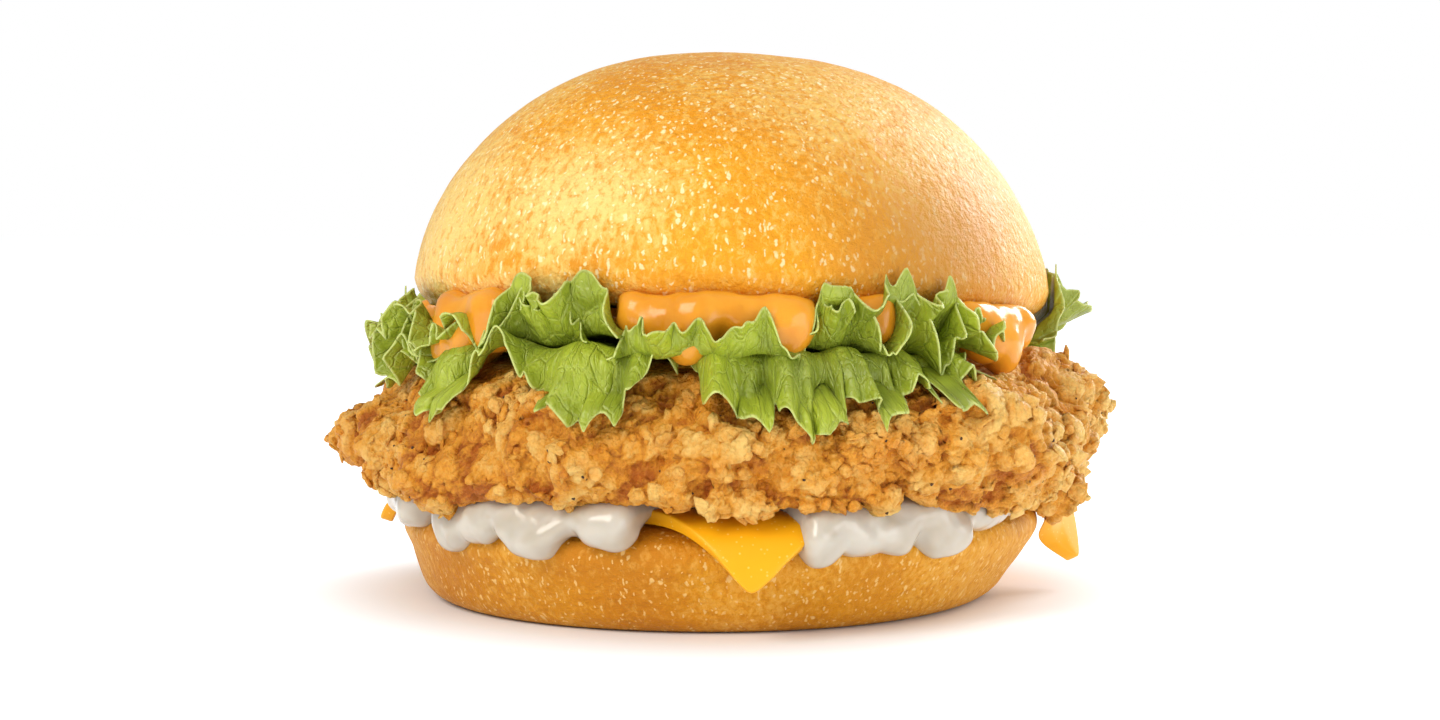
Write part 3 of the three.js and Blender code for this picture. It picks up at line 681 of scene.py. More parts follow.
@dataclass(frozen=True)
class LeafTissue(Finish):
    """Green leaf lettuce, raw: satin, blistered between its veins, yellower where it is thin and
    with a pale line along its toothed margin. Its UV map is in mm along and across the leaf."""

    green: str = "#A7B532"
    dark: str = "#7F8D28"
    margin: str = "#CDD783"
    vein: str = "#B8C558"
    veins: tuple[tuple[float, float], ...] = ((5.5, 0.06), (2.2, 0.07))  # mm apart, half width

    def paint(self, tree: bpy.types.NodeTree, place: Socket) -> Paint:
        """Works out the leaf's clouds of green, its net of veins, its margin and its blisters.

        Args:
            tree: The material's tree.
            place: The place on the piece.

        Returns:
            The paint.
        """
        uv = add(tree, "ShaderNodeTexCoord").outputs["UV"]
        cloud = add(tree, "ShaderNodeTexNoise", None,
                    {"Vector": place, "Scale": per_metre(9.0), "Detail": 3.0})
        tone = add(tree, "ShaderNodeValToRGB", None, {"Fac": cloud},
                   [(0.32, linear(self.dark)), (0.62, linear(self.green))])
        bent = add(tree, "ShaderNodeTexNoise", None, {"Vector": uv, "Scale": 0.35, "Detail": 2.0})
        shifted = add(tree, "ShaderNodeVectorMath", {"operation": "MULTIPLY_ADD"},
                      {0: bent.outputs["Color"], 1: (2.2, 2.2, 0.0), 2: uv})
        network = []
        for size, width in self.veins:
            cells = add(tree, "ShaderNodeTexVoronoi", {"feature": "DISTANCE_TO_EDGE"},
                        {"Vector": shifted, "Scale": 1 / size})
            network.append(add(tree, "ShaderNodeMapRange", None,
                               {"Value": cells, "From Max": width, "To Min": 1.0, "To Max": 0.0}))
        veins = add(tree, "ShaderNodeMath", {"operation": "MULTIPLY_ADD"},
                    {0: network[1], 1: 0.3, 2: network[0]})
        faint = add(tree, "ShaderNodeMath", {"operation": "MULTIPLY"}, {0: veins, 1: 0.35})
        rim = add(tree, "ShaderNodeAttribute", {"attribute_name": "margin"}).outputs["Fac"]
        line = add(tree, "ShaderNodeMapRange", None,
                   {"Value": rim, "From Min": 0.08, "From Max": 0.35, "To Min": 0.7, "To Max": 0.0})
        blister = add(tree, "ShaderNodeTexNoise", None, {"Vector": uv, "Scale": 0.45, "Detail": 2.0})
        raised = add(tree, "ShaderNodeMath", {"operation": "MULTIPLY_ADD"},
                     {0: veins, 1: -0.35, 2: blister})
        return Paint(tone.outputs[0], [(faint, self.vein), (line, self.margin)], raised)


@dataclass(frozen=True)
class GroundPepper(Finish):
    """Coarsely ground black pepper: matt, near black, with brown broken faces."""

    colour: str = "#2B1A0C"
    broken: str = "#5A3A1A"

    def paint(self, tree: bpy.types.NodeTree, place: Socket) -> Paint:
        """Works out where the pepper shows its brown inside.

        Args:
            tree: The material's tree.
            place: The place on the piece.

        Returns:
            The paint.
        """
        grain = add(tree, "ShaderNodeTexNoise", None,
                    {"Vector": place, "Scale": per_metre(0.8), "Detail": 2.0})
        return Paint(linear(self.colour), [(grain, self.broken)])


@dataclass(frozen=True)
class PaperSweep(Finish):
    """Matt white background paper that glows, a painted light that keeps it white, but for the
    patch that the burger stands on, where it glows less and its shadow shows."""

    relief: tuple[float, float] = (0.05, 0.1)
    colour: str = "#F0F4FA"
    glow: float = 0.54
    shadow: tuple[float, float] = (44.0, 80.0)  # radii in mm between which the glow comes in

    def paint(self, tree: bpy.types.NodeTree, place: Socket) -> Paint:
        """Works out the paper's tooth and its painted glow.

        Args:
            tree: The material's tree.
            place: The place on the piece.

        Returns:
            The paint.
        """
        tooth = add(tree, "ShaderNodeTexNoise", None,
                    {"Vector": place, "Scale": per_metre(1.5), "Detail": 2.0})
        away = add(tree, "ShaderNodeVectorMath", {"operation": "LENGTH"}, {0: place}).outputs["Value"]
        near, far = (radius * MM for radius in self.shadow)
        # Painted light: the paper glows, less near the burger so that its shadow shows
        painted_glow = add(tree, "ShaderNodeMapRange", SOFT,
                  {"Value": away, "From Min": near, "From Max": far, "To Max": self.glow})
        return Paint(linear(self.colour), height=tooth,
                     others={"Emission Color": linear("#FFFFFF"), "Emission Strength": painted_glow})


# The burger's parts


def dress(piece: bpy.types.Object, slot: str, *nodes: str) -> bpy.types.Object:
    """Puts a finished piece on the burger in place of the plain solids.

    Args:
        piece: The piece, in place.
        slot: The name of a material slot, which is not used.
        nodes: The solids that it stands for.

    Returns:
        The piece.
    """
    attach(piece, BODY)
    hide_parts(*nodes)
    log.info("%s: %d points, stands for %s", piece.name, len(piece.data.vertices), ", ".join(nodes))
    return piece


def bun_wobble(angle: Any, seed: int) -> Any:
    """Gives how far a bun's outline strays from a circle, as a share of its radius."""
    first = 0.006 * np.sin(np.radians(2 * angle + 40 * seed))
    return first + 0.003 * np.sin(np.radians(5 * angle + 70 * seed))


def dented(grid: Points, where: np.ndarray, dents: Dents) -> Points:
    """Dents a bun's crust.

    Args:
        grid: Rings of points.
        where: How freely each point moves, from 0 to 1.
        dents: Depth and width in mm of each size of dent, and a seed.

    Returns:
        The points, moved.
    """
    depth = sum(deep * rough_noise(grid, wide, seed) for deep, wide, seed in dents)
    return grid + grid_normals(grid, True) * (where * depth)[..., None]


@dataclass
class HeelBun:
    """The bottom half of the bun: flat-based, widest just under its cut top."""

    finish: BunCrust
    radius: float = 52.0
    height: float = 16.0
    lean: float = 1.4  # how far its base sits to the left of its top
    upright: tuple[float, float] = (11.0, 1.0)  # heights between which it leans
    dents: Dents = ((0.35, 14, 3), (0.07, 2.2, 9))
    columns: int = 300
    rings: int = 74
    profile: tuple[tuple[float, float], ...] = (
        (0.8, 0.0), (0.858, 0.3), (0.902, 2.0), (0.935, 5.0), (0.97, 8.6), (0.993, 11.2),
        (0.985, 13.4), (0.955, 14.6), (0.91, 15.5), (0.86, 16.0),
    )

    def shift(self, z: Any) -> Any:
        """Gives how far to the left the crust sits at a height."""
        return self.lean * smooth(*self.upright, z)

    def radius_at(self, angle: Any, z: Any) -> Any:
        """Gives how far out the crust is.

        Args:
            angle: Angles round the heel.
            z: Heights.

        Returns:
            Distances from the axis.
        """
        shares, heights = zip(*self.profile)
        plain = self.radius * np.interp(z, heights, shares) * (1 + bun_wobble(angle, 1))
        return plain - self.shift(z) * np.cos(np.radians(angle))

    def build(self) -> bpy.types.Object:
        """Builds and dresses the heel.

        Returns:
            Its piece.
        """
        path = curve_through(self.profile, self.rings)
        path[0, 1] = 0.0
        angle = around(self.columns)
        grid = polar(angle, self.radius * path[:, :1] * (1 + bun_wobble(angle, 1)), path[:, 1:])
        z = grid[..., 2]
        grid[..., 0] -= self.shift(z)
        flat_ends = smooth(0.3, 3, z) * smooth(self.height + 0.2, self.height - 1.5, z)
        points = capped([0, 0, 0], dented(grid, flat_ends, self.dents), [0, 0, self.height])
        piece = make_object("heel_crust", points, skin_faces(len(path), self.columns), self.finish.make())
        return dress(piece, "bun_crust", "heel_bun")


@dataclass
class CrownBun:
    """The domed top half of the bun, tucked in at its lower edge and leaning on the filling.

    Its pale and its browner patches are each given by angle, height, half width in degrees, half
    height in mm and strength. The browner patch on its right front is painted shade there.
    """

    finish: BunCrust
    radius: float = 51.6
    height: float = 42.3
    widest: float = 4.2  # height of its widest ring above its underside
    seat: tuple[float, float, float] = (1.6, 1.0, 45.3)
    roll: float = 1.3  # right side lower
    pitch: float = 4.1  # front higher
    powers: tuple[float, float] = (1.62, 0.4)  # of the dome's rise and of its radius
    tuck: tuple[tuple[float, float], ...] = ((0.5, 0.0), (0.9, 0.1), (0.955, 0.9), (0.985, 2.2))
    dents: Dents = ((0.5, 22, 5), (0.06, 2.6, 11))
    blooms: Patches = ((-118, 65, 20, 8, 1), (-128, 50, 22, 3, 0.9), (-156, 60, 24, 12, 0.9),
                       (-35, 74, 40, 9, 0.5), (40, 62, 26, 9, 0.8), (130, 70, 30, 8, 0.7))
    # Browner patches; the first, on the right front, is painted shade
    bakes_and_shade: Patches = ((-48, 58, 26, 14, 1), (-86, 50, 26, 5, 0.5), (170, 60, 24, 12, 0.7),
                      (85, 55, 24, 10, 0.8))
    columns: int = 380
    rings: int = 130

    def lean(self) -> np.ndarray:
        """Works out how the crown leans.

        Returns:
            The turn from the crown's own frame to the burger's, as three rows.
        """
        x, y = math.radians(-self.pitch), math.radians(self.roll)
        about_x = np.array([[1, 0, 0], [0, math.cos(x), -math.sin(x)], [0, math.sin(x), math.cos(x)]])
        about_y = np.array([[math.cos(y), 0, math.sin(y)], [0, 1, 0], [-math.sin(y), 0, math.cos(y)]])
        return about_x @ about_y

    def placed(self, points: Points) -> Points:
        """Moves points from the crown's own frame to the burger's."""
        return points @ self.lean().T + np.array(self.seat)

    def unplaced(self, points: Points) -> Points:
        """Moves points from the burger's frame to the crown's own."""
        return (points - np.array(self.seat)) @ self.lean()

    def build(self) -> bpy.types.Object:
        """Builds and dresses the crown.

        Returns:
            Its piece.
        """
        lift = np.sin(np.linspace(0, math.pi / 2, 60, endpoint=False))
        dome = (1 - lift ** self.powers[0]) ** self.powers[1]
        rise = self.height - self.widest
        shape = list(self.tuck) + list(zip(dome, self.widest + lift * rise))
        path = curve_through([(s * self.radius, z) for s, z in shape], self.rings)
        angle, z = around(self.columns), path[:, 1:]
        flat = np.clip((z - self.widest) / rise, 0, 1)
        grid = polar(angle, path[:, :1] * (1 + bun_wobble(angle, 2) * (1 - flat)), z)
        smooth_ends = smooth(0, 6, from_axis(grid)) * smooth(0.2, 3, grid[..., 2])
        grid = dented(grid, smooth_ends, self.dents)
        points = self.placed(capped([0, 0, 0], grid, [0, 0, self.height]))
        piece = make_object("crown_crust", points, skin_faces(len(path), self.columns), self.finish.make())
        for name, areas in (("bloom", self.blooms), ("bake", self.bakes_and_shade)):
            store(piece, name, self.patches(points, areas))
        return dress(piece, "bun_crust", "crown_bun")

    def patches(self, points: Points, areas: Patches) -> np.ndarray:
        """Gives how much each point lies in soft patches of the crust.

        Args:
            points: Points in the burger's frame.
            areas: The patches.

        Returns:
            Values from 0 to 1.
        """
        angle, z = angle_of(points), points[..., 2]
        rows = [np.exp(-((turn_between(angle, at) / wide) ** 2) - ((z - height) / tall) ** 2) * amount
                for at, height, wide, tall, amount in areas]
        return np.max(rows, axis=0)


@dataclass
class CheeseSlice:
    """A square slice that lies on the heel and folds down where its corners pass the rim."""

    finish: ProcessedCheese
    heel: HeelBun
    side: float = 85.6
    thickness: float = 2.2
    turn: float = 46.0
    centre: tuple[float, float] = (3.7, 0.7)
    gap: float = 0.35
    flat_share: float = 0.9  # of the heel's radius that it lies flat on
    bend: float = 7.3  # radius of its fold
    slope: tuple[float, float] = (82.0, 66.0)  # of a corner that hugs the heel, and of the right one
    # How far the right corner's back edge swings out and its front edge in, by its width, and
    # between which distances past the rim that comes in
    swing_out: tuple[float, float, float] = (0.5, 0.0, 6.0)
    swing_in: tuple[float, float, float] = (0.9, 7.0, 15.0)
    cells: int = 110
    corner_power: float = 60.0  # rounds the corners

    def drape(self, x: np.ndarray, y: np.ndarray, height: Any) -> Points:
        """Lays points of the flat slice on the heel.

        Args:
            x: Places across the heel in mm.
            y: Places from front to back in mm.
            height: Height above the slice's underside in mm.

        Returns:
            The points where they come to lie.
        """
        rest = self.heel.radius * self.flat_share
        radius = np.hypot(x, y)
        angle = np.degrees(np.arctan2(y, x))
        past = np.maximum(radius - rest, 0)
        standing = smooth(40, 10, np.abs(angle))  # 1 in the right corner, which stands off the heel
        steepest = np.radians(mix(self.slope[0], self.slope[1], standing))
        turned = np.minimum(past / self.bend, steepest)
        straight = np.maximum(0, past - self.bend * steepest)
        reach = np.minimum(radius, rest) + self.bend * np.sin(turned) + straight * np.cos(steepest)
        across = y - self.centre[1]
        swings = [most * smooth(start, end, past) for most, start, end in (self.swing_out, self.swing_in)]
        reach = reach + standing * across * np.where(across > 0, *swings)
        fall = self.bend * (1 - np.cos(turned)) + straight * np.sin(steepest)
        z = self.heel.height - fall + height * np.cos(turned)
        return polar(angle, reach + height * np.sin(turned), z)

    def build(self) -> bpy.types.Object:
        """Builds and dresses the slice.

        Returns:
            Its piece.
        """
        n = self.cells + 1
        a, b = np.meshgrid(np.linspace(-1, 1, n), np.linspace(-1, 1, n), indexing="ij")
        reach = (np.abs(a) ** self.corner_power + np.abs(b) ** self.corner_power) ** (1 / self.corner_power)
        shrink = self.side / 2 / np.maximum(1, reach)
        turn = math.radians(self.turn)
        x = self.centre[0] + shrink * (a * math.cos(turn) - b * math.sin(turn))
        y = self.centre[1] + shrink * (a * math.sin(turn) + b * math.cos(turn))
        points = np.stack([self.drape(x, y, h) for h in (self.gap, self.gap + self.thickness)])
        ripple = 0.25 * rough_noise(points, 16, 21, 2)
        points[..., 2] += ripple * smooth(40, 50, np.hypot(x, y))[None]
        piece = make_object("cheese_slice_sheet", points, sheet_faces(n, n), self.finish.make())
        bevel = piece.modifiers.new("rounded_edge", "BEVEL")
        bevel.width = 0.6 * MM
        bevel.segments = 3
        bevel.limit_method = "ANGLE"
        bevel.angle_limit = math.radians(50)
        return dress(flattened(piece), "cheese", "cheese_slice")


def flattened(piece: bpy.types.Object) -> bpy.types.Object:
    """Turns a piece with modifiers into a plain mesh with none.

    Args:
        piece: The piece.

    Returns:
        The same piece.
    """
    graph = bpy.context.evaluated_depsgraph_get()
    graph.update()
    mesh = bpy.data.meshes.new_from_object(piece.evaluated_get(graph))
    mesh.name = piece.name
    piece.modifiers.clear()
    piece.data = mesh
    return piece


@dataclass(frozen=True)
class Lump:
    """A lump of batter: where it is round the rim, and how wide, tall and proud it is."""

    angle: float
    z: float
    wide: float
    tall: float
    out: float


@dataclass(frozen=True)
class CragLayer:
    """One size of crag in the batter: how wide and how deep in mm, and how flaky, where 0 is all
    round knobs and 1 is all tilted flakes with torn edges."""

    size: float
    depth: float
    flaky: float
    seed: int


@dataclass
class ChickenFillet:
    """The fried fillet: a craggy slab, pointed on the left, thick and knobbly on the right."""

    finish: FriedBatter
    pepper: GroundPepper
    crown: CrownBun
    base: float = 20.5
    top: float = 38.4
    roundness: float = 0.24
    sunk: float = 1.1  # how far its rim has sunk into the sauce below
    lift: float = 0.85
    reach: dict[str, float] = field(
        default_factory=lambda: {"left": 61.5, "right": 61.5, "front": 54.0, "back": 53.0})
    squareness: tuple[float, float] = (2.5, 2.05)  # of its outline on the right and on the left
    # Waves of its outline: size as a share of its reach, number round it, turn in degrees
    waves: tuple[tuple[float, float, float], ...] = ((0.018, 3, 20), (0.012, 7, 0))
    # Where its top starts and ends to round off to the rim, and how far it falls, right and left
    shoulders: tuple[tuple[float, float, float], ...] = ((48.0, 60.0, 1.2), (46.0, 60.0, 5.6))
    # How far its underside rises towards its left and its right end, and between which places
    ends: tuple[tuple[float, float, float], ...] = ((1.6, 50.0, 60.0), (1.2, 54.0, 62.0))
    # Swells of its side: mm apart across and up, seed, height
    swells: tuple[tuple[float, float, float, float], ...] = ((11.0, 9.0, 5.0, 4.0), (6.0, 5.0, 40.0, 2.8))
    swell_level: float = 0.3  # height of a swell that leaves the side where it is
    knob: tuple[float, float, float, float] = (-18.0, 55.0, 9.0, 6.0)  # angle, reach, size, height
    # Painted light on the right end and painted shade on the left: from and to how far right it gets lighter,
    # or darker on the left, and how much
    painted_side_light_and_shade: tuple[tuple[float, float, float], ...] = ((32.0, 58.0, 0.14), (-10.0, -45.0, -0.06))
    curl: tuple[float, float, float] = (-117.0, 28.0, 5.2)  # angle, height, radius of a curled flake
    columns: int = 800
    rings: int = 104
    lumps: tuple[Lump, ...] = (
        Lump(-167, 30, 6, 3, 3), Lump(-178, 25, 7, 4, 3), Lump(-116, 28, 7, 8, 4.2),
        Lump(-140, 20, 6, 5, 4), Lump(-134, 36, 8, 4, 2.6), Lump(-97, 22, 6, 3, 1.6),
        Lump(-88, 29, 7, 4, 2), Lump(-73, 21, 7, 4, 3), Lump(-66, 31, 7, 4, 2.4),
        Lump(-50, 32, 9, 6, 4.4), Lump(-41, 22, 7, 4, 2.6), Lump(-8, 33, 9, 5, 3.2),
        Lump(25, 29, 9, 5, 3.6), Lump(62, 25, 10, 5, 3.4), Lump(95, 29, 9, 5, 3.8),
        Lump(128, 23, 9, 5, 3.2), Lump(152, 28, 8, 5, 3),
    )
    # Where its underside hangs: angle, half width, drop
    hangs: tuple[tuple[float, float, float], ...] = (
        (-25, 6, 6.8), (-139, 7, 2.6), (-110, 7, 2.2), (-91, 12, 2.6), (-73, 7, 2.6), (-46, 5, 1),
        (70, 8, 2.5), (118, 7, 3))
    crease: tuple[float, float] = (0.16, 0.25)  # width between two crags, in cells, and depth
    crag_level: float = 0.45  # height of a crag that leaves the plain form where it is
    layers: tuple[CragLayer, ...] = (
        CragLayer(9.5, 1.7, 0.6, 1), CragLayer(4.4, 1.5, 0.9, 2), CragLayer(1.9, 0.8, 0.8, 3))

    def rim(self, angle: Any) -> Any:
        """Gives how far out the fillet reaches: an oval, squarer on the right, with slow waves.

        Args:
            angle: Angles round it.

        Returns:
            Distances from the axis.
        """
        c, s = np.cos(np.radians(angle)), np.sin(np.radians(angle))
        a = np.where(c > 0, self.reach["right"], self.reach["left"])
        b = np.where(s > 0, self.reach["back"], self.reach["front"])
        power = np.where(c > 0, *self.squareness)
        oval = ((np.abs(c) / a) ** power + (np.abs(s) / b) ** power) ** (-1 / power)
        rows = [size * np.sin(np.radians(count * angle + turn)) for size, count, turn in self.waves]
        return oval * sum(rows, 1)

    def upper(self, x: Any, y: Any) -> Any:
        """Gives the height of the fillet's top, which leans with the crown, falls away towards
        the rim, most on the left, and has a knob on the right.

        Args:
            x: Places to the right.
            y: Places to the back.

        Returns:
            Heights.
        """
        radius, angle = np.hypot(x, y), np.degrees(np.arctan2(y, x))
        at, out, size, height = self.knob
        knob = np.hypot(x - out * math.cos(math.radians(at)), y - out * math.sin(math.radians(at)))
        lean = -x * math.tan(math.radians(self.crown.roll)) - y * math.tan(math.radians(self.crown.pitch))
        left = smooth(70, 150, np.abs(turn_between(angle, 0)))
        inner, outer, drop = (mix(a, b, left) for a, b in zip(*self.shoulders))
        t = np.clip((radius - inner) / (outer - inner), 0, 1)
        fall = smooth(34, 48, radius) + drop * t * t * (3 - 2 * t)
        return self.top + self.lift * lean - fall + height * np.exp(-((knob / size) ** 2))

    def lower(self, x: Any, y: Any) -> Any:
        """Gives the height of the fillet's underside, which hangs over the rim of what it lies
        on and rises at its two points.

        Args:
            x: Places to the right.
            y: Places to the back.

        Returns:
            Heights.
        """
        radius, angle = np.hypot(x, y), np.degrees(np.arctan2(y, x))
        pointed = sum(most * smooth(start, end, out)
                      for (most, start, end), out in zip(self.ends, (-x, x)))
        hang = sum(drop * np.exp(-((turn_between(angle, middle) / width) ** 2))
                   for middle, width, drop in self.hangs)
        share = radius / self.rim(angle)
        edge = np.maximum(smooth(53, 57, radius), smooth(0.87, 0.97, share))
        sunk = self.sunk * smooth(0.8, 0.92, share)
        return self.base + pointed - 3.4 * smooth(47, 55, radius) - hang * edge - sunk

    def surface(self, angle: np.ndarray, climb: np.ndarray) -> tuple[Points, np.ndarray]:
        """Gives points of the fillet's plain form.

        Args:
            angle: Angles round it.
            climb: Angles up its side, from -90 under it to 90 on top.

        Returns:
            The points, and how much each is on the side, from 0 to 1.
        """
        turned = np.radians(climb)
        share = np.cos(turned) ** self.roundness
        flat = polar(angle, self.rim(angle) * share, 0.0)
        side = smooth(0.8, 0.95, share)
        z = mix(self.lower(flat[..., 0], flat[..., 1]), self.upper(flat[..., 0], flat[..., 1]),
                (1 + np.sin(turned)) / 2)
        swell = sum(height * (np.abs(noise(flat[..., 0] / across, flat[..., 1] / across, z / up + seed))
                              - self.swell_level)
                    for across, up, seed, height in self.swells)
        out = mix(0.1, 1, side) * swell
        for lump in self.lumps:
            across = np.radians(turn_between(angle, lump.angle)) * self.rim(angle) / lump.wide
            out = out + side * lump.out * np.exp(-(across**2) - ((z - lump.z) / lump.tall) ** 2)
        up = np.sin(turned)
        radius = from_axis(flat) + out * np.sqrt(np.cos(turned))
        points = polar(angle, radius, z + out * 0.6 * np.sign(up) * up * up)
        return points, np.broadcast_to(side, points.shape[:-1])

    def climbs(self) -> np.ndarray:
        """Places the rings close together where the side shows.

        Returns:
            Their angles up the side in degrees, from -90 under the fillet to 90 on top.
        """
        fine = np.radians(np.linspace(-89.5, 89.5, 2000))
        share = np.cos(fine) ** self.roundness
        step = np.hypot(np.gradient(57 * share), np.gradient(9.5 * np.sin(fine)))
        run = np.cumsum(step * mix(0.14, 1, smooth(0.74, 0.86, share)))
        return np.degrees(np.interp(np.linspace(run[0], run[-1], self.rings), run, fine))

    def craggy(self, grid: Points, side: np.ndarray) -> tuple[Points, np.ndarray]:
        """Breaks the plain form up into crags, each size standing on the last.

        Args:
            grid: Rings of points.
            side: How much each point is on the side.

        Returns:
            The points, and their relief from 0 in a crevice to 1 on a crest.
        """
        angle = angle_of(grid)
        right = smooth(-110, -50, angle) * smooth(40, -10, angle)
        wild = mix(0.75, 1.15, right) * mix(0.25, 1, side)
        relief = np.zeros(side.shape)
        whole = sum(layer.depth for layer in self.layers)
        for layer in self.layers:
            normal = grid_normals(grid, True)
            warp = np.stack([rough_noise(grid, layer.size * 1.3, layer.seed + k, 2) for k in (0, 20, 40)], -1)
            cells = Cells.of(grid + 0.5 * layer.size * warp, layer.size, layer.seed)
            # A knob is a dome over each cell, a flake is a plane that tilts across it, and a
            # crease runs where two cells meet
            knob = np.clip(1 - (cells.near / 0.95) ** 2, 0, 1) * mix(0.55, 1, cells.owner)
            flake = np.clip(0.5 + 0.75 * cells.tilt + 0.5 * (cells.owner - 0.5), 0, 1)
            crag = mix(knob, flake, layer.flaky)
            crease = 1 - smooth(0, self.crease[0], cells.second - cells.near)
            height = crag - self.crag_level - self.crease[1] * crease
            grid = grid + normal * (layer.depth * wild * height)[..., None]
            relief = relief + layer.depth / whole * (crag - 0.3 * crease)
        return grid, np.clip(relief, 0, 1)

    def curled_flake(self, grid: Points) -> Points:
        """Raises the round curled flake on the front left of the fillet.

        Args:
            grid: Rings of points.

        Returns:
            The points with the flake.
        """
        angle, z, size = self.curl
        across = np.radians(turn_between(angle_of(grid), angle)) * from_axis(grid)
        away = np.hypot(across, (grid[..., 2] - z) * 0.8) / size
        ridge = 1.5 * np.exp(-(((away - 1) / 0.22) ** 2)) - 0.9 * np.exp(-((away / 0.7) ** 4))
        return grid + grid_normals(grid, True) * ridge[..., None]

    def build(self) -> list[bpy.types.Object]:
        """Builds and dresses the fillet with its crumbs and pepper.

        Returns:
            Its pieces.
        """
        grid, side = self.surface(around(self.columns), self.climbs()[:, None])
        grid, relief = self.craggy(self.curled_flake(grid), side)
        points = capped([0, 0, self.lower(0.0, 0.0)], grid, [0, 0, self.upper(0.0, 0.0)])
        batter = self.finish.make()
        piece = make_object("fried_batter_crust", points, skin_faces(*grid.shape[:2]), batter)
        # Painted light on the right end and painted shade on the left, added to the relief that sets the
        # batter's tone
        painted_light_and_shade = side * sum(most * smooth(start, end, grid[..., 0]) for start, end, most in self.painted_side_light_and_shade)
        for name, values, at_ends in (("relief", relief + painted_light_and_shade, 0.5),
                                      ("crumb_room", side * smooth(0.3, 0.6, relief), 0),
                                      ("pepper_room", side, 0)):
            store(piece, name, np.concatenate([[at_ends], values.ravel(), [at_ends]]))
        bits = [
            Scatter("batter_crumbs", self.bit("crumb", 0.8, 0.5, 0.35), batter, "crumb_room",
                    density=90000, scales=(0.5, 1.4), tilt=0.9, seed=4),
            Scatter("batter_flakes", self.bit("flake", 1.4, 0.3, 0.5), batter, "crumb_room",
                    density=70000, scales=(0.45, 1.3), tilt=0.65, seed=6),
            Scatter("pepper_specks", self.bit("peppercorn", 0.28, 0.16, 0.5), self.pepper.make(),
                    "pepper_room", density=9000, scales=(0.5, 1.2), tilt=1.5, seed=9),
        ]
        loose = [scatter.over(piece) for scatter in bits]
        return [dress(each, "fried_batter", "chicken_fillet") for each in [piece, *loose]]

    def bit(self, name: str, radius: float, half: float, ragged: float) -> bpy.types.Object:
        """Makes one broken bit with a few dozen faces.

        Args:
            name: Its name.
            radius: How far it reaches from its middle in mm.
            half: Half its thickness in mm.
            ragged: How uneven its outline is.

        Returns:
            The bit, lying flat.
        """
        angle = around(7)
        climb = np.radians(np.linspace(-55, 55, 4))[:, None]
        uneven = 1 + ragged * noise(angle / 43, 0.5, 2.5)  # no two corners reach the same
        grid = polar(angle, radius * uneven * np.cos(climb), half * np.sin(climb) / 0.8)
        grid[..., 2] += 0.3 * half * noise(grid[..., 0] / radius, grid[..., 1] / radius, 5.5)
        points = capped([0, 0, -half], grid, [0.1 * radius, 0, half])
        return make_object(name, points, skin_faces(*grid.shape[:2]))


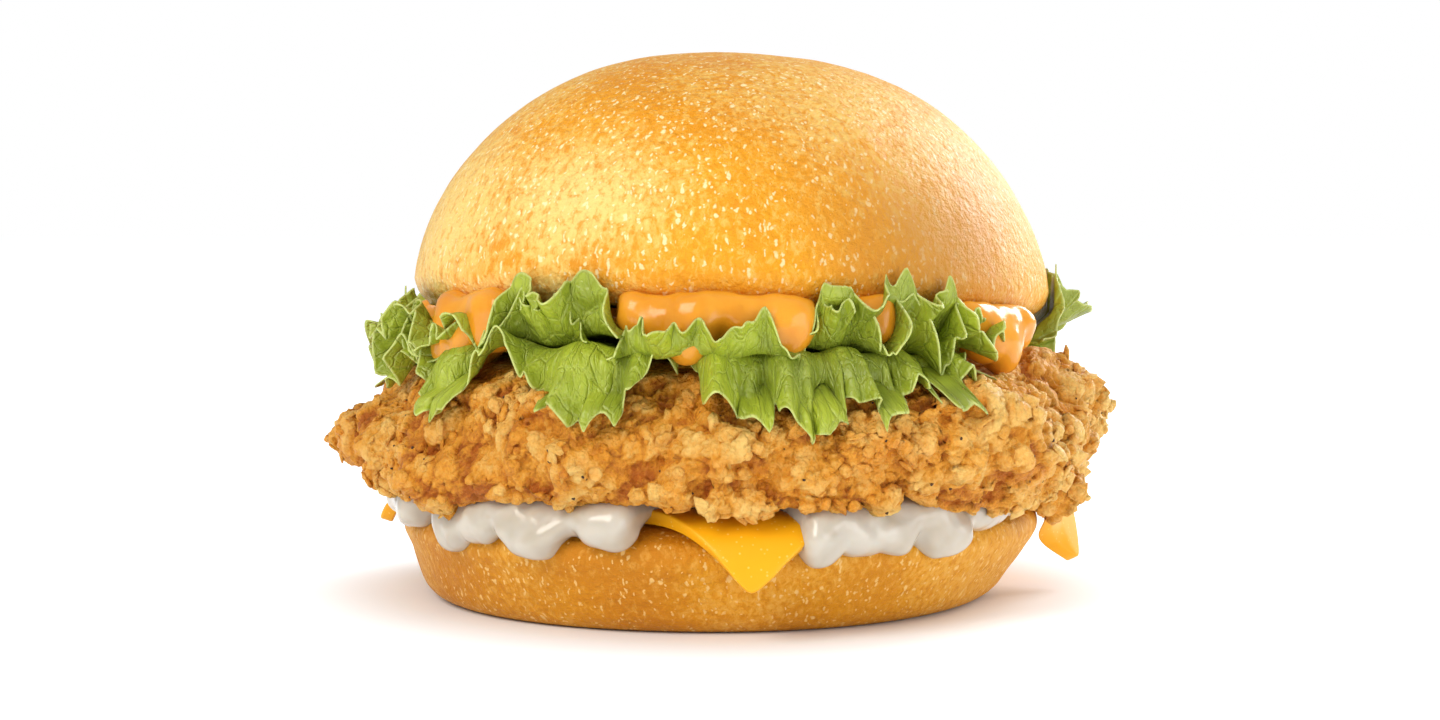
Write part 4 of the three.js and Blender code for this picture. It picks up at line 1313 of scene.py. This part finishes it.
@dataclass
class Scatter:
    """Small things scattered over a surface by Geometry Nodes, which makes them a plain mesh."""

    name: str
    shape: bpy.types.Object
    material: bpy.types.Material
    where: str  # the attribute that says how many there are
    density: float  # per square metre
    scales: tuple[float, float]
    tilt: float  # most that one leans from the surface, in radians
    seed: int
    spin: float = 3.1  # most that one is turned about the surface's normal, in radians

    def tree(self) -> bpy.types.NodeTree:
        """Makes the node tree that scatters.

        Returns:
            The tree.
        """
        tree = bpy.data.node_groups.new(self.name + "_scatter", "GeometryNodeTree")
        face = tree.interface
        face.new_socket("Surface", in_out="INPUT", socket_type="NodeSocketGeometry")
        for name, kind in (("Density", "Float"), ("Smallest", "Float"), ("Largest", "Float"),
                           ("Tilt", "Float"), ("Seed", "Int"), ("Shape", "Object"),
                           ("Finish", "Material")):
            face.new_socket(name, in_out="INPUT", socket_type="NodeSocket" + kind)
        face.new_socket("Things", in_out="OUTPUT", socket_type="NodeSocketGeometry")
        given = add(tree, "NodeGroupInput").outputs
        room = add(tree, "GeometryNodeInputNamedAttribute", {"data_type": "FLOAT"}, {"Name": self.where})
        density = add(tree, "ShaderNodeMath", {"operation": "MULTIPLY"}, {0: room, 1: given["Density"]})
        points = add(tree, "GeometryNodeDistributePointsOnFaces", None,
                     {"Mesh": given["Surface"], "Density": density, "Seed": given["Seed"]})
        shape = add(tree, "GeometryNodeObjectInfo", None, {"Object": given["Shape"]})
        scale = add(tree, "FunctionNodeRandomValue", {"data_type": "FLOAT"},
                    {2: given["Smallest"], 3: given["Largest"], "Seed": given["Seed"]})
        placed = add(tree, "GeometryNodeInstanceOnPoints", None,
                     {"Points": points, "Instance": shape.outputs["Geometry"],
                      "Rotation": points.outputs["Rotation"], "Scale": scale.outputs[1]})
        back = add(tree, "ShaderNodeMath", {"operation": "MULTIPLY"}, {0: given["Tilt"], 1: -1.0})
        ends = [add(tree, "ShaderNodeCombineXYZ", None, {"X": t, "Y": t, "Z": turn})
                for t, turn in ((back, -self.spin), (given["Tilt"], self.spin))]
        lean = add(tree, "FunctionNodeRandomValue", {"data_type": "FLOAT_VECTOR"},
                   {0: ends[0], 1: ends[1], "Seed": given["Seed"]})
        turned = add(tree, "GeometryNodeRotateInstances", None, {"Instances": placed, "Rotation": lean})
        real = add(tree, "GeometryNodeRealizeInstances", None, {"Geometry": turned})
        painted = add(tree, "GeometryNodeSetMaterial", None, {"Geometry": real, "Material": given["Finish"]})
        add(tree, "NodeGroupOutput", None, {0: painted})
        return tree

    def over(self, surface: bpy.types.Object) -> bpy.types.Object:
        """Scatters the things over a surface.

        Args:
            surface: The object that carries them.

        Returns:
            A new object that holds them all.
        """
        host = bpy.data.objects.new(self.name, surface.data.copy())
        bpy.context.scene.collection.objects.link(host)
        tree = self.tree()
        modifier = host.modifiers.new("scatter", "NODES")
        modifier.node_group = tree
        values = {"Density": self.density, "Smallest": self.scales[0], "Largest": self.scales[1],
                  "Tilt": self.tilt, "Seed": self.seed, "Shape": self.shape, "Finish": self.material}
        for item in tree.interface.items_tree:
            if item.in_out == "INPUT" and item.name in values:
                modifier[item.identifier] = values[item.name]
        flattened(host)
        host.data.shade_smooth()
        bpy.data.objects.remove(self.shape)
        return host


class SauceKind(Enum):
    """The burger's two sauces."""

    WHITE = "white_sauce"
    ORANGE = "orange_sauce"


@dataclass
class Sauce:
    """A sauce: a thin bed that squeezes out over the rim in lumpy drips."""

    kind: SauceKind
    finish: CreamySauce
    spills: tuple[tuple[float, float], ...]  # stretches of the rim that it runs over
    drips: tuple[tuple[float, float, float], ...]  # angle, half width, length
    columns: int = 900
    steps: int = 46
    lump: float = 1.1  # mm that its lumps stand out
    swelling: float = 0.35  # how far the spills stand out between lumps, as a share of that
    softness: int = 16  # rounds of averaging that surface tension stands for

    def within(self, angle: np.ndarray, edge: float) -> np.ndarray:
        """Tells where the sauce spills.

        Args:
            angle: Angles round the burger.
            edge: Half the width in degrees over which a spill begins or ends.

        Returns:
            1 in a spill and 0 outside one.
        """
        rows = [smooth(a - edge, a + edge, angle) * (1 - smooth(b - edge, b + edge, angle))
                for a, b in self.spills]
        return np.max(rows, axis=0)

    def solid(self, corners: Any, spill: np.ndarray, angle: np.ndarray) -> Points:
        """Sweeps a section round the axis and softens it.

        Args:
            corners: The section's corners, from the lowest inner one round the outside to the
                highest inner one, each as radius in the bed and in a spill, then height in both.
            spill: How much the sauce spills at each angle, from 0 to 1.
            angle: The angles.

        Returns:
            Rings of points.
        """
        sections = np.stack([np.stack([mix(bed_radius, radius, spill), mix(bed_z, z, spill)], -1)
                             for bed_radius, radius, bed_z, z in corners], 1)
        smoothed = np.stack([curve_through(s, self.steps) for s in sections], 1)
        grid = polar(angle[None], smoothed[..., 0], smoothed[..., 1])
        grid = spread(grid, self.softness, True)
        out = smooth(46, 52, from_axis(grid))  # 0 in the bed, which stays even, and 1 past the rim
        lumps = self.lump * (rough_noise(grid, 4.6, 31, 2) + self.swelling)
        return grid + grid_normals(grid, True) * (out * lumps)[..., None]

    def finished(self, grid: Points) -> bpy.types.Object:
        """Closes the rings and dresses the sauce.

        Args:
            grid: Rings of points in the burger's frame.

        Returns:
            Its piece.
        """
        name = self.kind.value
        points = capped(grid[0].mean(0), grid, grid[-1].mean(0))
        piece = make_object(name + "_pour", points, skin_faces(*grid.shape[:2]), self.finish.make())
        return dress(piece, name, name)


@dataclass
class WhiteSauce(Sauce):
    """The white sauce between the cheese and the fillet."""

    heel: HeelBun | None = None
    reach: float = 52.6

    def build(self) -> bpy.types.Object:
        """Builds and dresses the sauce.

        Returns:
            Its piece.
        """
        angle = around(self.columns)
        spill = self.within(angle, 2.5)
        drip = bumps(angle, self.drips, 4) * spill
        out = self.reach + 0.6 * np.sin(np.radians(angle * 13)) + 0.2 * drip
        top = self.heel.height
        low = top - 0.6 - drip
        bed, bed_low, bed_high = 43, top + 2.6, top + 3.8
        inner = 44  # where a spill starts to swell
        corners = (
            (bed, inner, bed_low, bed_low),
            (bed + 0.4, 49.5, bed_low, low + 0.8),
            (bed + 0.8, out - 0.4, bed_low, low),
            (bed + 1.2, out + 1.4, bed_low + 0.3, low + 1.2),
            (bed + 1.4, out + 1.9, bed_low + 0.5, low + 2.6),
            (bed + 1.2, out + 1.3, bed_low + 0.7, top + 2),
            (bed + 0.6, out - 0.8, bed_high, top + 4),
            (bed, inner, bed_high, bed_high),
        )
        return self.finished(self.rested(self.solid(corners, spill, angle)))

    def rested(self, grid: Points) -> Points:
        """Presses the sauce on to the heel, so that it doesn't run through the crust.

        Args:
            grid: Rings of points.

        Returns:
            The points outside the heel, but for a film's thickness.
        """
        film = 0.15  # mm
        angle, radius, z = angle_of(grid), from_axis(grid), grid[..., 2]
        crust = self.heel.radius_at(angle, z)
        out = np.where(z < self.heel.height, crust - film - radius, 0)
        up = self.heel.height - film - z
        inside = (out > 0) & (up > 0)
        new_radius = np.where(inside & (out <= up), radius + out, radius)
        new_z = np.where(inside & (out > up), z + up, z)
        return polar(angle, new_radius, new_z)


@dataclass
class OrangeSauce(Sauce):
    """The orange sauce under the crown, running out over the lettuce."""

    crown: CrownBun | None = None
    depth: float = 3.6
    reach: float = 50.9

    def build(self) -> bpy.types.Object:
        """Builds and dresses the sauce.

        Returns:
            Its piece.
        """
        angle = around(self.columns)
        spill = self.within(angle, 2.0)
        taper = self.within(angle + 1.2 * np.sin(np.radians(angle * 17)), 4.5)
        drip = bumps(angle, self.drips, 4) * taper
        out = self.reach + 0.5 * np.sin(np.radians(angle * 11)) + 0.18 * drip + 0.8 * taper
        low = -1.2 - (self.depth - 0.8) * taper - drip + 0.6 * noise(angle / 3.1, 0.5, 0.5) * taper
        bed, bed_low, bed_high = 42, -self.depth, -0.35
        inner = bed - 2
        corners = (
            (inner, inner, bed_low, bed_low),
            (bed - 1, 48, bed_low, low + 1),
            (bed, out - 0.4, bed_low + 0.2, low),
            (bed + 0.8, out + 1.6, bed_low + 0.8, low + 1.4),
            (bed + 1, out + 2.2, -2, low + 2.6),
            (bed + 0.8, out + 1.6, -1.2, 0.6),
            (bed, out - 0.8, bed_high, 1.5),
            (inner, inner, bed_high, bed_high),
        )
        return self.finished(self.crown.placed(self.solid(corners, spill, angle)))


class Tier(Enum):
    """Where a leaf lies between fillet and sauce, as a share of the space at its root and past it."""

    LOWER = (0.28, 0.42)
    MIDDLE = (0.5, 0.6)
    UPPER = (0.76, 0.84)


@dataclass(frozen=True)
class LeafBed:
    """What the leaves lie between: the fillet, and the crown with the sauce under it."""

    fillet: ChickenFillet
    surface: BVHTree  # the fillet's
    crown: CrownBun
    sauce_depth: float
    up_room: float = 2.1
    out_room: float = 4.0
    crown_room: float = 1.6
    side_drop: float = 3.0  # how far below the fillet's top a leaf is always moved outwards
    tuck: tuple[float, float] = (3.0, 2.0)  # how far the wall draws in, and over what half height

    def heights(self, root: Points) -> tuple[Any, Any]:
        """Gives the space that a leaf has.

        Args:
            root: Points of the leaf, seen from above.

        Returns:
            The heights there of the fillet's top and of the sauce's underside.
        """
        under = root - np.array(self.crown.seat)
        under[..., 2] = -self.sauce_depth - 0.35
        return self.fillet.upper(root[..., 0], root[..., 1]), self.crown.placed(under)[..., 2]

    def cleared(self, grid: Points) -> Points:
        """Moves a leaf out of the fillet, up or outwards, and then out of the crown.

        Args:
            grid: Rows of points of the leaf.

        Returns:
            The points, moved.
        """
        far = 200.0  # where the rays start, well outside the burger
        flat = grid.reshape(-1, 3)
        angle, radius = angle_of(flat), from_axis(flat)
        moved = flat.copy()
        inward = polar(angle, -1.0, 0.0)
        start = polar(angle, far, flat[:, 2])
        for i, p in enumerate(flat):
            above = self.surface.ray_cast(Vector((p[0], p[1], far)), Vector((0, 0, -1)))
            beside = self.surface.ray_cast(Vector(start[i]), Vector(inward[i]))
            if above[0] is None or beside[0] is None:
                continue
            up = far - above[3] + self.up_room - p[2]
            out = far - beside[3] + self.out_room - radius[i]
            if up > 0 and out > 0:
                if out < up or p[2] < self.fillet.top - self.side_drop:
                    moved[i] = polar(angle[i], radius[i] + out, p[2])
                else:
                    moved[i, 2] += up
        shift = spread((moved - flat).reshape(grid.shape), 3, False)
        q = self.crown.unplaced(grid + shift)
        # The wall that holds a leaf off the crown draws in under the crown's lower edge
        deep, half = self.tuck
        wall = self.crown.radius + self.crown_room - deep * (1 - smooth(-half, half, q[..., 2]))
        r = from_axis(q)
        push = np.where((q[..., 2] > -half) & (r < wall), wall / r, 1)
        q[..., :2] *= push[..., None]
        return self.crown.placed(q)


@dataclass
class LettuceLeaf:
    """A frilly leaf: its margin is so much longer than its root that it meanders in deep folds."""

    node: str
    tier: Tier
    span: tuple[float, float]
    fold: float  # mean width of a fold in degrees
    curl: float  # most that a fold turns in degrees
    length: float  # how far it reaches past the rim
    turn: float  # which way it turns there in degrees, positive being down
    lobes: tuple[tuple[float, float, float, float], ...]  # angle, half width, length, turn
    seed: int
    end: float = 0.4  # share of its length that it has at its two ends
    taper: float = 6.0  # degrees over which it comes down to that
    rim: float = 48.0
    turn_radius: float = 4.5
    start_turn: float = -25.0
    steps: int = 44  # columns in a fold
    rows: int = 30
    thickness: tuple[float, float] = (0.7, 0.24)  # at the root and at the margin
    wander: float = 16.0  # most that its turn strays along the margin, in degrees
    ruffle: float = 1.2  # mm that its fine waves stand out at the margin
    teeth_in_fold: float = 3.4
    tooth_size: tuple[float, float] = (0.8, 1.9)  # mm of the smallest, and how much the largest adds
    margin_out: float = 8.0  # mm past the rim at which the folds' width is taken
    name: str = ""  # of its piece, where that isn't made from the node's

    def folds(self) -> list[tuple[float, float, float]]:
        """Divides the leaf into uneven folds.

        Returns:
            For each fold, where it starts and how wide it is in degrees, and how far it curls in
            radians.
        """
        low, high = self.span
        count = math.floor((high - low) / self.fold + 0.5)
        widths = [0.75 + 0.5 * chance(k, self.seed, 1) for k in range(count)]
        scale = (high - low) / sum(widths)
        made, start = [], low
        for k, width in enumerate(widths):
            curl = math.radians(self.curl * (0.88 + 0.22 * chance(k, self.seed, 2)))
            made.append((start, width * scale, curl))
            start += width * scale
        return made

    def reach_and_turn(self, angle: np.ndarray) -> tuple[np.ndarray, np.ndarray]:
        """Gives how far the leaf reaches past the rim, and which way it turns.

        Args:
            angle: Angles round the burger.

        Returns:
            Lengths in mm, and turns in radians, positive being down.
        """
        length, turn = np.full(angle.shape, self.length), np.full(angle.shape, self.turn)
        for middle, half, lobe_length, lobe_turn in self.lobes:
            weight = np.exp(-((np.abs(angle - middle) / half) ** 3))
            length, turn = mix(length, lobe_length, weight), mix(turn, lobe_turn, weight)
        turn = turn + self.wander * noise(angle / 4.5, self.seed * 5.3 + 0.5, 3.5)
        length = length * (1 + 0.1 * noise(angle / 3.7, self.seed * 3.1 + 0.5, 8.5))
        from_end = np.minimum(angle - self.span[0], self.span[1] - angle)
        return length * mix(self.end, 1, smooth(0, self.taper, from_end)), np.radians(turn)

    def teeth(self, place: np.ndarray) -> np.ndarray:
        """Gives the pointed teeth of the margin.

        Args:
            place: Places along the margin in folds.

        Returns:
            How far each place stands out in mm.
        """
        s = place * self.teeth_in_fold
        tooth = np.floor(s)
        offset = 0.5 + 0.5 * (chance(tooth, self.seed, 5) - 0.5)
        gap = np.abs(s - tooth - offset)
        size = self.tooth_size[0] + self.tooth_size[1] * chance(tooth, self.seed, 6)
        return size * np.clip(1 - gap / 0.46, 0, 1) ** 1.5 - 0.5

    def past_rim(self, travel: np.ndarray, turn: np.ndarray) -> tuple[np.ndarray, np.ndarray, np.ndarray]:
        """Follows the leaf past the rim, where it starts a little upwards and bends to its turn.

        Args:
            travel: Distances along it.
            turn: Its turns.

        Returns:
            How far it has run out and risen, and its heading, positive being down.
        """
        start = math.radians(self.start_turn)
        bend = turn - start
        turned = np.minimum(travel / self.turn_radius, np.abs(bend)) * np.sign(bend)
        heading = start + turned
        straight = np.maximum(0, travel - self.turn_radius * np.abs(bend))
        side = self.turn_radius * np.sign(bend)
        out = side * (np.sin(heading) - math.sin(start)) + straight * np.cos(heading)
        rise = side * (np.cos(heading) - math.cos(start)) - straight * np.sin(heading)
        return out, rise, heading

    def sheet(self, bed: LeafBed) -> tuple[Points, np.ndarray, np.ndarray]:
        """Gives the middle of the leaf's sheet.

        Args:
            bed: What the leaf lies between.

        Returns:
            Rows of points from root to margin, each point's place along and across the leaf in
            mm, and its distance from the margin in mm.
        """
        # Stations across the leaf: 0 at its root, 1 at the rim and 4 at its margin
        w = np.concatenate([np.linspace(0, 1, 7)[:-1], np.linspace(1, 4, self.rows - 6)])[:, None]
        radius = np.interp(w, (0, 1, 4), (32, self.rim, self.rim))
        free = np.interp(w, range(5), (0, 0, 0.38, 0.72, 1))
        curl = np.interp(w, range(5), (0.1, 0.22, 0.5, 0.9, 1.05))
        share = np.interp(w, (0, 1), self.tier.value)
        fine = 4  # steps worked out for each that is kept
        n = self.steps * fine
        columns, margins = [], []
        folds = self.folds()
        for k, (start, width, fold_curl) in enumerate(folds):
            heading = fold_curl * curl * np.sin(2 * np.pi * (np.arange(n) + 0.5) / n)
            zero = np.zeros((len(w), 1))
            along = np.hstack([zero, np.cumsum(np.cos(heading), 1)])
            height = np.hstack([zero, np.cumsum(np.sin(heading), 1)])
            wide = np.radians(width) * (radius + self.margin_out * free)
            scale = wide / along[:, -1:]
            pick = np.arange(0, n + (k == len(folds) - 1), fine)
            along, height = (along * scale)[:, pick], (height * scale)[:, pick]
            peak = height[:, self.steps // 2][:, None]
            t = pick / n
            middle = start + width * t
            angle = middle + width * (along / wide - t)
            length, turn = self.reach_and_turn(middle)
            tooth = self.teeth(k + t) * smooth(0.55, 1, free) * np.clip(length / 12, 0.45, 1)
            travel = free * length + tooth
            out, rise, lean = self.past_rim(np.maximum(travel, 0), turn)
            lean = lean * smooth(0, 0.12, free)
            wave = 2 * np.pi * (k + t)
            fine_wave = np.sin(2.3 * wave + self.seed) + 0.6 * np.sin(4.1 * wave + 2 * self.seed)
            lift = height - peak / 2 + self.ruffle * free**2 * fine_wave
            level = mix(*bed.heights(polar(middle, radius, 0.0)), share)
            columns.append(polar(angle, radius + out + lift * np.sin(lean),
                                 level + rise + lift * np.cos(lean)))
            margins.append((1 - free) * length + 0 * t)
        grid = np.concatenate(columns, 1)
        run = np.cumsum(np.linalg.norm(np.diff(grid, axis=1, prepend=grid[:, :1]), axis=-1), 1)[-1]
        climb = np.cumsum(np.linalg.norm(np.diff(grid, axis=0, prepend=grid[:1]), axis=-1), 0)
        uv = np.stack([np.broadcast_to(run, climb.shape), climb], -1)
        return grid, uv, np.concatenate(margins, 1)

    def build(self, bed: LeafBed, material: bpy.types.Material) -> bpy.types.Object:
        """Builds and dresses the leaf.

        Args:
            bed: What it lies between.
            material: The leaf's material.

        Returns:
            Its piece.
        """
        grid, uv, margin = self.sheet(bed)
        grid = bed.cleared(grid)
        normal = -grid_normals(grid, False)
        share = np.linspace(0, 1, len(grid))[:, None, None]
        half = mix(self.thickness[0], self.thickness[1], share) / 2
        points = np.stack([grid - normal * half, grid + normal * half])
        piece = make_object(self.name or self.node + "_leaf", points, sheet_faces(*grid.shape[:2]), material)
        store(piece, "margin", np.stack([margin, margin]))
        store_uv(piece, np.stack([uv, uv]))
        return dress(piece, "lettuce", self.node)


@dataclass
class Studio:
    """White paper, soft light and a camera at the eye level of a diner."""

    paper: PaperSweep
    paper_reach: float = 3000.0
    camera_place: tuple[float, float, float] = (0.0, -420.0, 66.0)
    camera_down: float = 3.85  # degrees
    focal_pixels: float = 2554.0  # of a picture 1440 wide
    picture_width: int = 1440
    sensor: float = 36.0
    ambient: float = 0.52

    def light(self, name: str, place: tuple[float, float, float], size: float, watts: float,
              colour: str = "#FFFFFF", aim: tuple[float, float, float] = (0, 0, 45)) -> None:
        """Hangs a soft square light.

        Args:
            name: Its name.
            place: Where it hangs in mm.
            size: Its side in mm.
            watts: Its power.
            colour: Its colour.
            aim: The point that it faces in mm.
        """
        lamp = bpy.data.lights.new(name, "AREA")
        lamp.size = size * MM
        lamp.energy = watts
        lamp.color = linear(colour)[:3]
        holder = bpy.data.objects.new(name, lamp)
        holder.location = Vector(place) * MM
        holder.rotation_mode = "QUATERNION"
        holder.rotation_quaternion = (Vector(aim) - Vector(place)).to_track_quat("-Z", "Y")
        bpy.context.scene.collection.objects.link(holder)

    def build(self) -> None:
        """Lays the paper, hangs the lights and sets up the camera."""
        self.lay_paper()
        self.light("key", (-420, -520, 520), size=420, watts=3.9, colour="#FFFAF0")
        self.light("rim", (470, 470, 330), size=360, watts=4.0, aim=(10, 0, 60))
        self.light("fill", (460, -420, 90), size=400, watts=1.3, aim=(0, 0, 25))
        self.fill_air()
        self.aim_camera()

    def lay_paper(self) -> None:
        """Lays the paper on the floor."""
        span = self.paper_reach
        corners = np.array([(-span, -span, 0), (span, -span, 0), (span, span, 0), (-span, span, 0)])
        floor = make_object("paper_floor", corners, [(0, 1, 2, 3)], self.paper.make())

    def fill_air(self) -> None:
        """Fills the room with even light, a bright white where the camera looks straight at it."""
        world = bpy.data.worlds.new("studio_air")
        world.use_nodes = True
        tree = world.node_tree
        seen = add(tree, "ShaderNodeLightPath").outputs["Is Camera Ray"]
        strength = add(tree, "ShaderNodeMapRange", None, {"Value": seen, "To Min": self.ambient})
        connect(tree, tree.nodes["Background"], {"Strength": strength, "Color": linear("#FFFFFF")})
        bpy.context.scene.world = world

    def aim_camera(self) -> None:
        """Sets up the camera and how its picture is shown."""
        data = bpy.data.cameras.new("diner_camera")
        data.sensor_width = self.sensor
        data.lens = self.sensor * self.focal_pixels / self.picture_width
        data.clip_start, data.clip_end = 0.01, 20.0
        camera = bpy.data.objects.new("diner_camera", data)
        camera.location = Vector(self.camera_place) * MM
        camera.rotation_euler = (math.radians(90 - self.camera_down), 0, 0)
        bpy.context.scene.collection.objects.link(camera)
        bpy.context.scene.camera = camera
        bpy.context.scene.view_settings.view_transform = "Standard"


# Stretches of the rim that each sauce runs over, and its drips by angle, half width and length
WHITE_SPILLS = ((-171, -149), (-146, -103.5), (-78, -24), (33, 76), (100, 152))
WHITE_DRIPS = (
    (-164, 4, 1.2), (-155, 4, 2.4), (-140, 4.5, 4.2), (-133, 4, 3), (-122, 5.5, 4.2), (-108, 5, 1.8),
    (-75, 5, 4.4), (-67, 4.5, 3.4), (-61, 4, 3.4), (-51, 4.5, 4.2), (-40, 5, 1), (45, 6, 3),
    (62, 5, 4.5), (110, 6, 4), (122, 5, 2.5), (138, 6, 5),
)
ORANGE_SPILLS = ((-149, -127), (-110, -75), (-70, -62), (-49, -27), (20, 44), (84, 120), (150, 172))
ORANGE_DRIPS = (
    (-143, 5, 7), (-134, 4, 3.6), (-104, 5, 2), (-96.5, 3, 4.8), (-88, 4, 0.6), (-80.5, 5, 4),
    (-66, 4, 1.4), (-41, 3, 3), (-36, 3, 4.6), (-30, 3, 1.6), (28, 5, 3), (38, 4, 5), (92, 6, 4),
    (106, 6, 5), (161, 6, 4),
)
# Each leaf's node, tier, span, width of a fold, curl, length, turn, lobes and seed. A lobe is given
# by its angle, half width, length and turn.
LEAVES = (
    LettuceLeaf("lettuce_lower_left", Tier.LOWER, (-168, -97), 12, 62, 7, 8,
                ((-156, 6, 11, 40), (-138, 5.5, 14.5, 80), (-110, 9.5, 14.5, 76)), 0),
    LettuceLeaf("lettuce_lower_front", Tier.LOWER, (-96, -44), 10.5, 72, 9, 40,
                ((-88, 6.5, 14, 72), (-76, 5, 16.5, 80), (-66, 4.5, 13, 66), (-55, 5, 11, 50)), 1,
                wander=34.0, ruffle=1.9),
    LettuceLeaf("lettuce_upper_left", Tier.UPPER, (-206, -105), 12.3, 74, 8, -42,
                ((-190, 8, 11, 52), (-170, 7, 6, -35), (-153, 5, 9.5, -12), (-138, 8, 5, 35),
                 (-117, 10, 8.5, -66)), 2, end=0.8),
    LettuceLeaf("lettuce_upper_right", Tier.UPPER, (-77, -36), 9.5, 76, 9, -44,
                ((-73, 4, 9, -62), (-61, 6, 10, -70), (-52, 4, 10, -60), (-42, 5, 9, -5)), 3),
    LettuceLeaf("lettuce_back", Tier.UPPER, (-8, 151), 15.5, 74, 9, 10,
                ((4, 9, 13, -54), (30, 9, 12, 48), (48, 8, 10, -55), (70, 10, 17, 74), (92, 8, 10, -55),
                 (112, 9, 15, 68), (135, 8, 10, -40)), 4),
    LettuceLeaf("lettuce_lower_left", Tier.MIDDLE, (-165, -112), 9, 76, 7, -42,
                ((-146, 5, 8, 45), (-133, 7, 5, -30), (-120, 5, 8, -55)), 5, name="lettuce_frill_left"),
    LettuceLeaf("lettuce_lower_front", Tier.MIDDLE, (-78, -38), 8, 76, 6.5, 40,
                ((-71, 5, 9, -55), (-59, 5, 9.5, -50), (-46, 6, 9, -48)), 6, name="lettuce_frill_front"),
    LettuceLeaf("lettuce_lower_front", Tier.LOWER, (-107, -78), 9.5, 60, 4.5, -45,
                ((-101, 4, 6.5, -58), (-87, 5, 6.5, -60)), 9, rim=53.4, name="lettuce_frill_middle"),
    LettuceLeaf("lettuce_back", Tier.UPPER, (-12, 18), 15, 82, 12, -38, ((3, 9, 13.5, -44),), 7,
                name="lettuce_frill_right"),
    LettuceLeaf("lettuce_back", Tier.MIDDLE, (20, 188), 10.5, 76, 7.5, 25,
                ((38, 7, 9, -50), (82, 8, 9, -52), (124, 8, 9, -50), (160, 8, 10, 55)), 8, steps=28,
                name="lettuce_frill_back"),
)


def solid_surface(node: str) -> BVHTree:
    """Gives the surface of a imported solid, for finding what lies on it.

    Args:
        node: The solid's name.

    Returns:
        The surface, in mm.
    """
    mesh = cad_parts[node].data
    points = [v.co / MM for v in mesh.vertices]
    return BVHTree.FromPolygons(points, [tuple(p.vertices) for p in mesh.polygons])


def main() -> None:
    """Builds the burger from the heel up, and then the studio."""
    logging.basicConfig(level=logging.INFO, format="%(name)s: %(message)s")
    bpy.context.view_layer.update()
    heel = HeelBun(BunCrust("baked_heel_crust", 0.55, shine=0.25, gold="#D99310", amber="#C67D0B",
                            cream="#E7B04E", foot="#C98A3A", fleck="#ECC276", grain="#C0760C",
                            foot_span=(-1.0, 0.0), fleck_share=0.42))
    crown = CrownBun(BunCrust("baked_crown_crust", 0.4, shine=0.24))
    cheese = CheeseSlice(
        ProcessedCheese("cast_processed_cheese", 0.36, depth=1.5, translucency=0.1, shine=0.3), heel)
    fillet = ChickenFillet(
        FriedBatter("fried_flour_batter", 0.58, depth=0.8, translucency=0.12, shine=0.4),
        GroundPepper("ground_black_pepper", 0.7), crown)
    white = WhiteSauce(
        SauceKind.WHITE,
        CreamySauce("white_emulsion_sauce", 0.2, depth=2.0, translucency=0.3, shine=0.4),
        WHITE_SPILLS, WHITE_DRIPS, heel=heel)
    orange = OrangeSauce(
        SauceKind.ORANGE,
        CreamySauce("orange_emulsion_sauce", 0.22, depth=1.5, translucency=0.2, shine=0.35,
                    colour="#EA9F2A", deep="#DE8E1A", coat=0.2),
        ORANGE_SPILLS, ORANGE_DRIPS, crown=crown)
    tissue = LeafTissue("raw_lettuce_leaf", 0.38, depth=0.8, translucency=0.15)
    for part in (heel, cheese, white, fillet):
        part.build()
    bed = LeafBed(fillet, solid_surface("chicken_fillet"), crown, orange.depth)
    green = tissue.make()
    for leaf in LEAVES:
        leaf.build(bed, green)
    for part in (orange, crown):
        part.build()
    Studio(PaperSweep("matt_white_paper", 0.9, translucency=0.0)).build()
    log.info("sizes written")


if __name__ == "__main__":
    main()
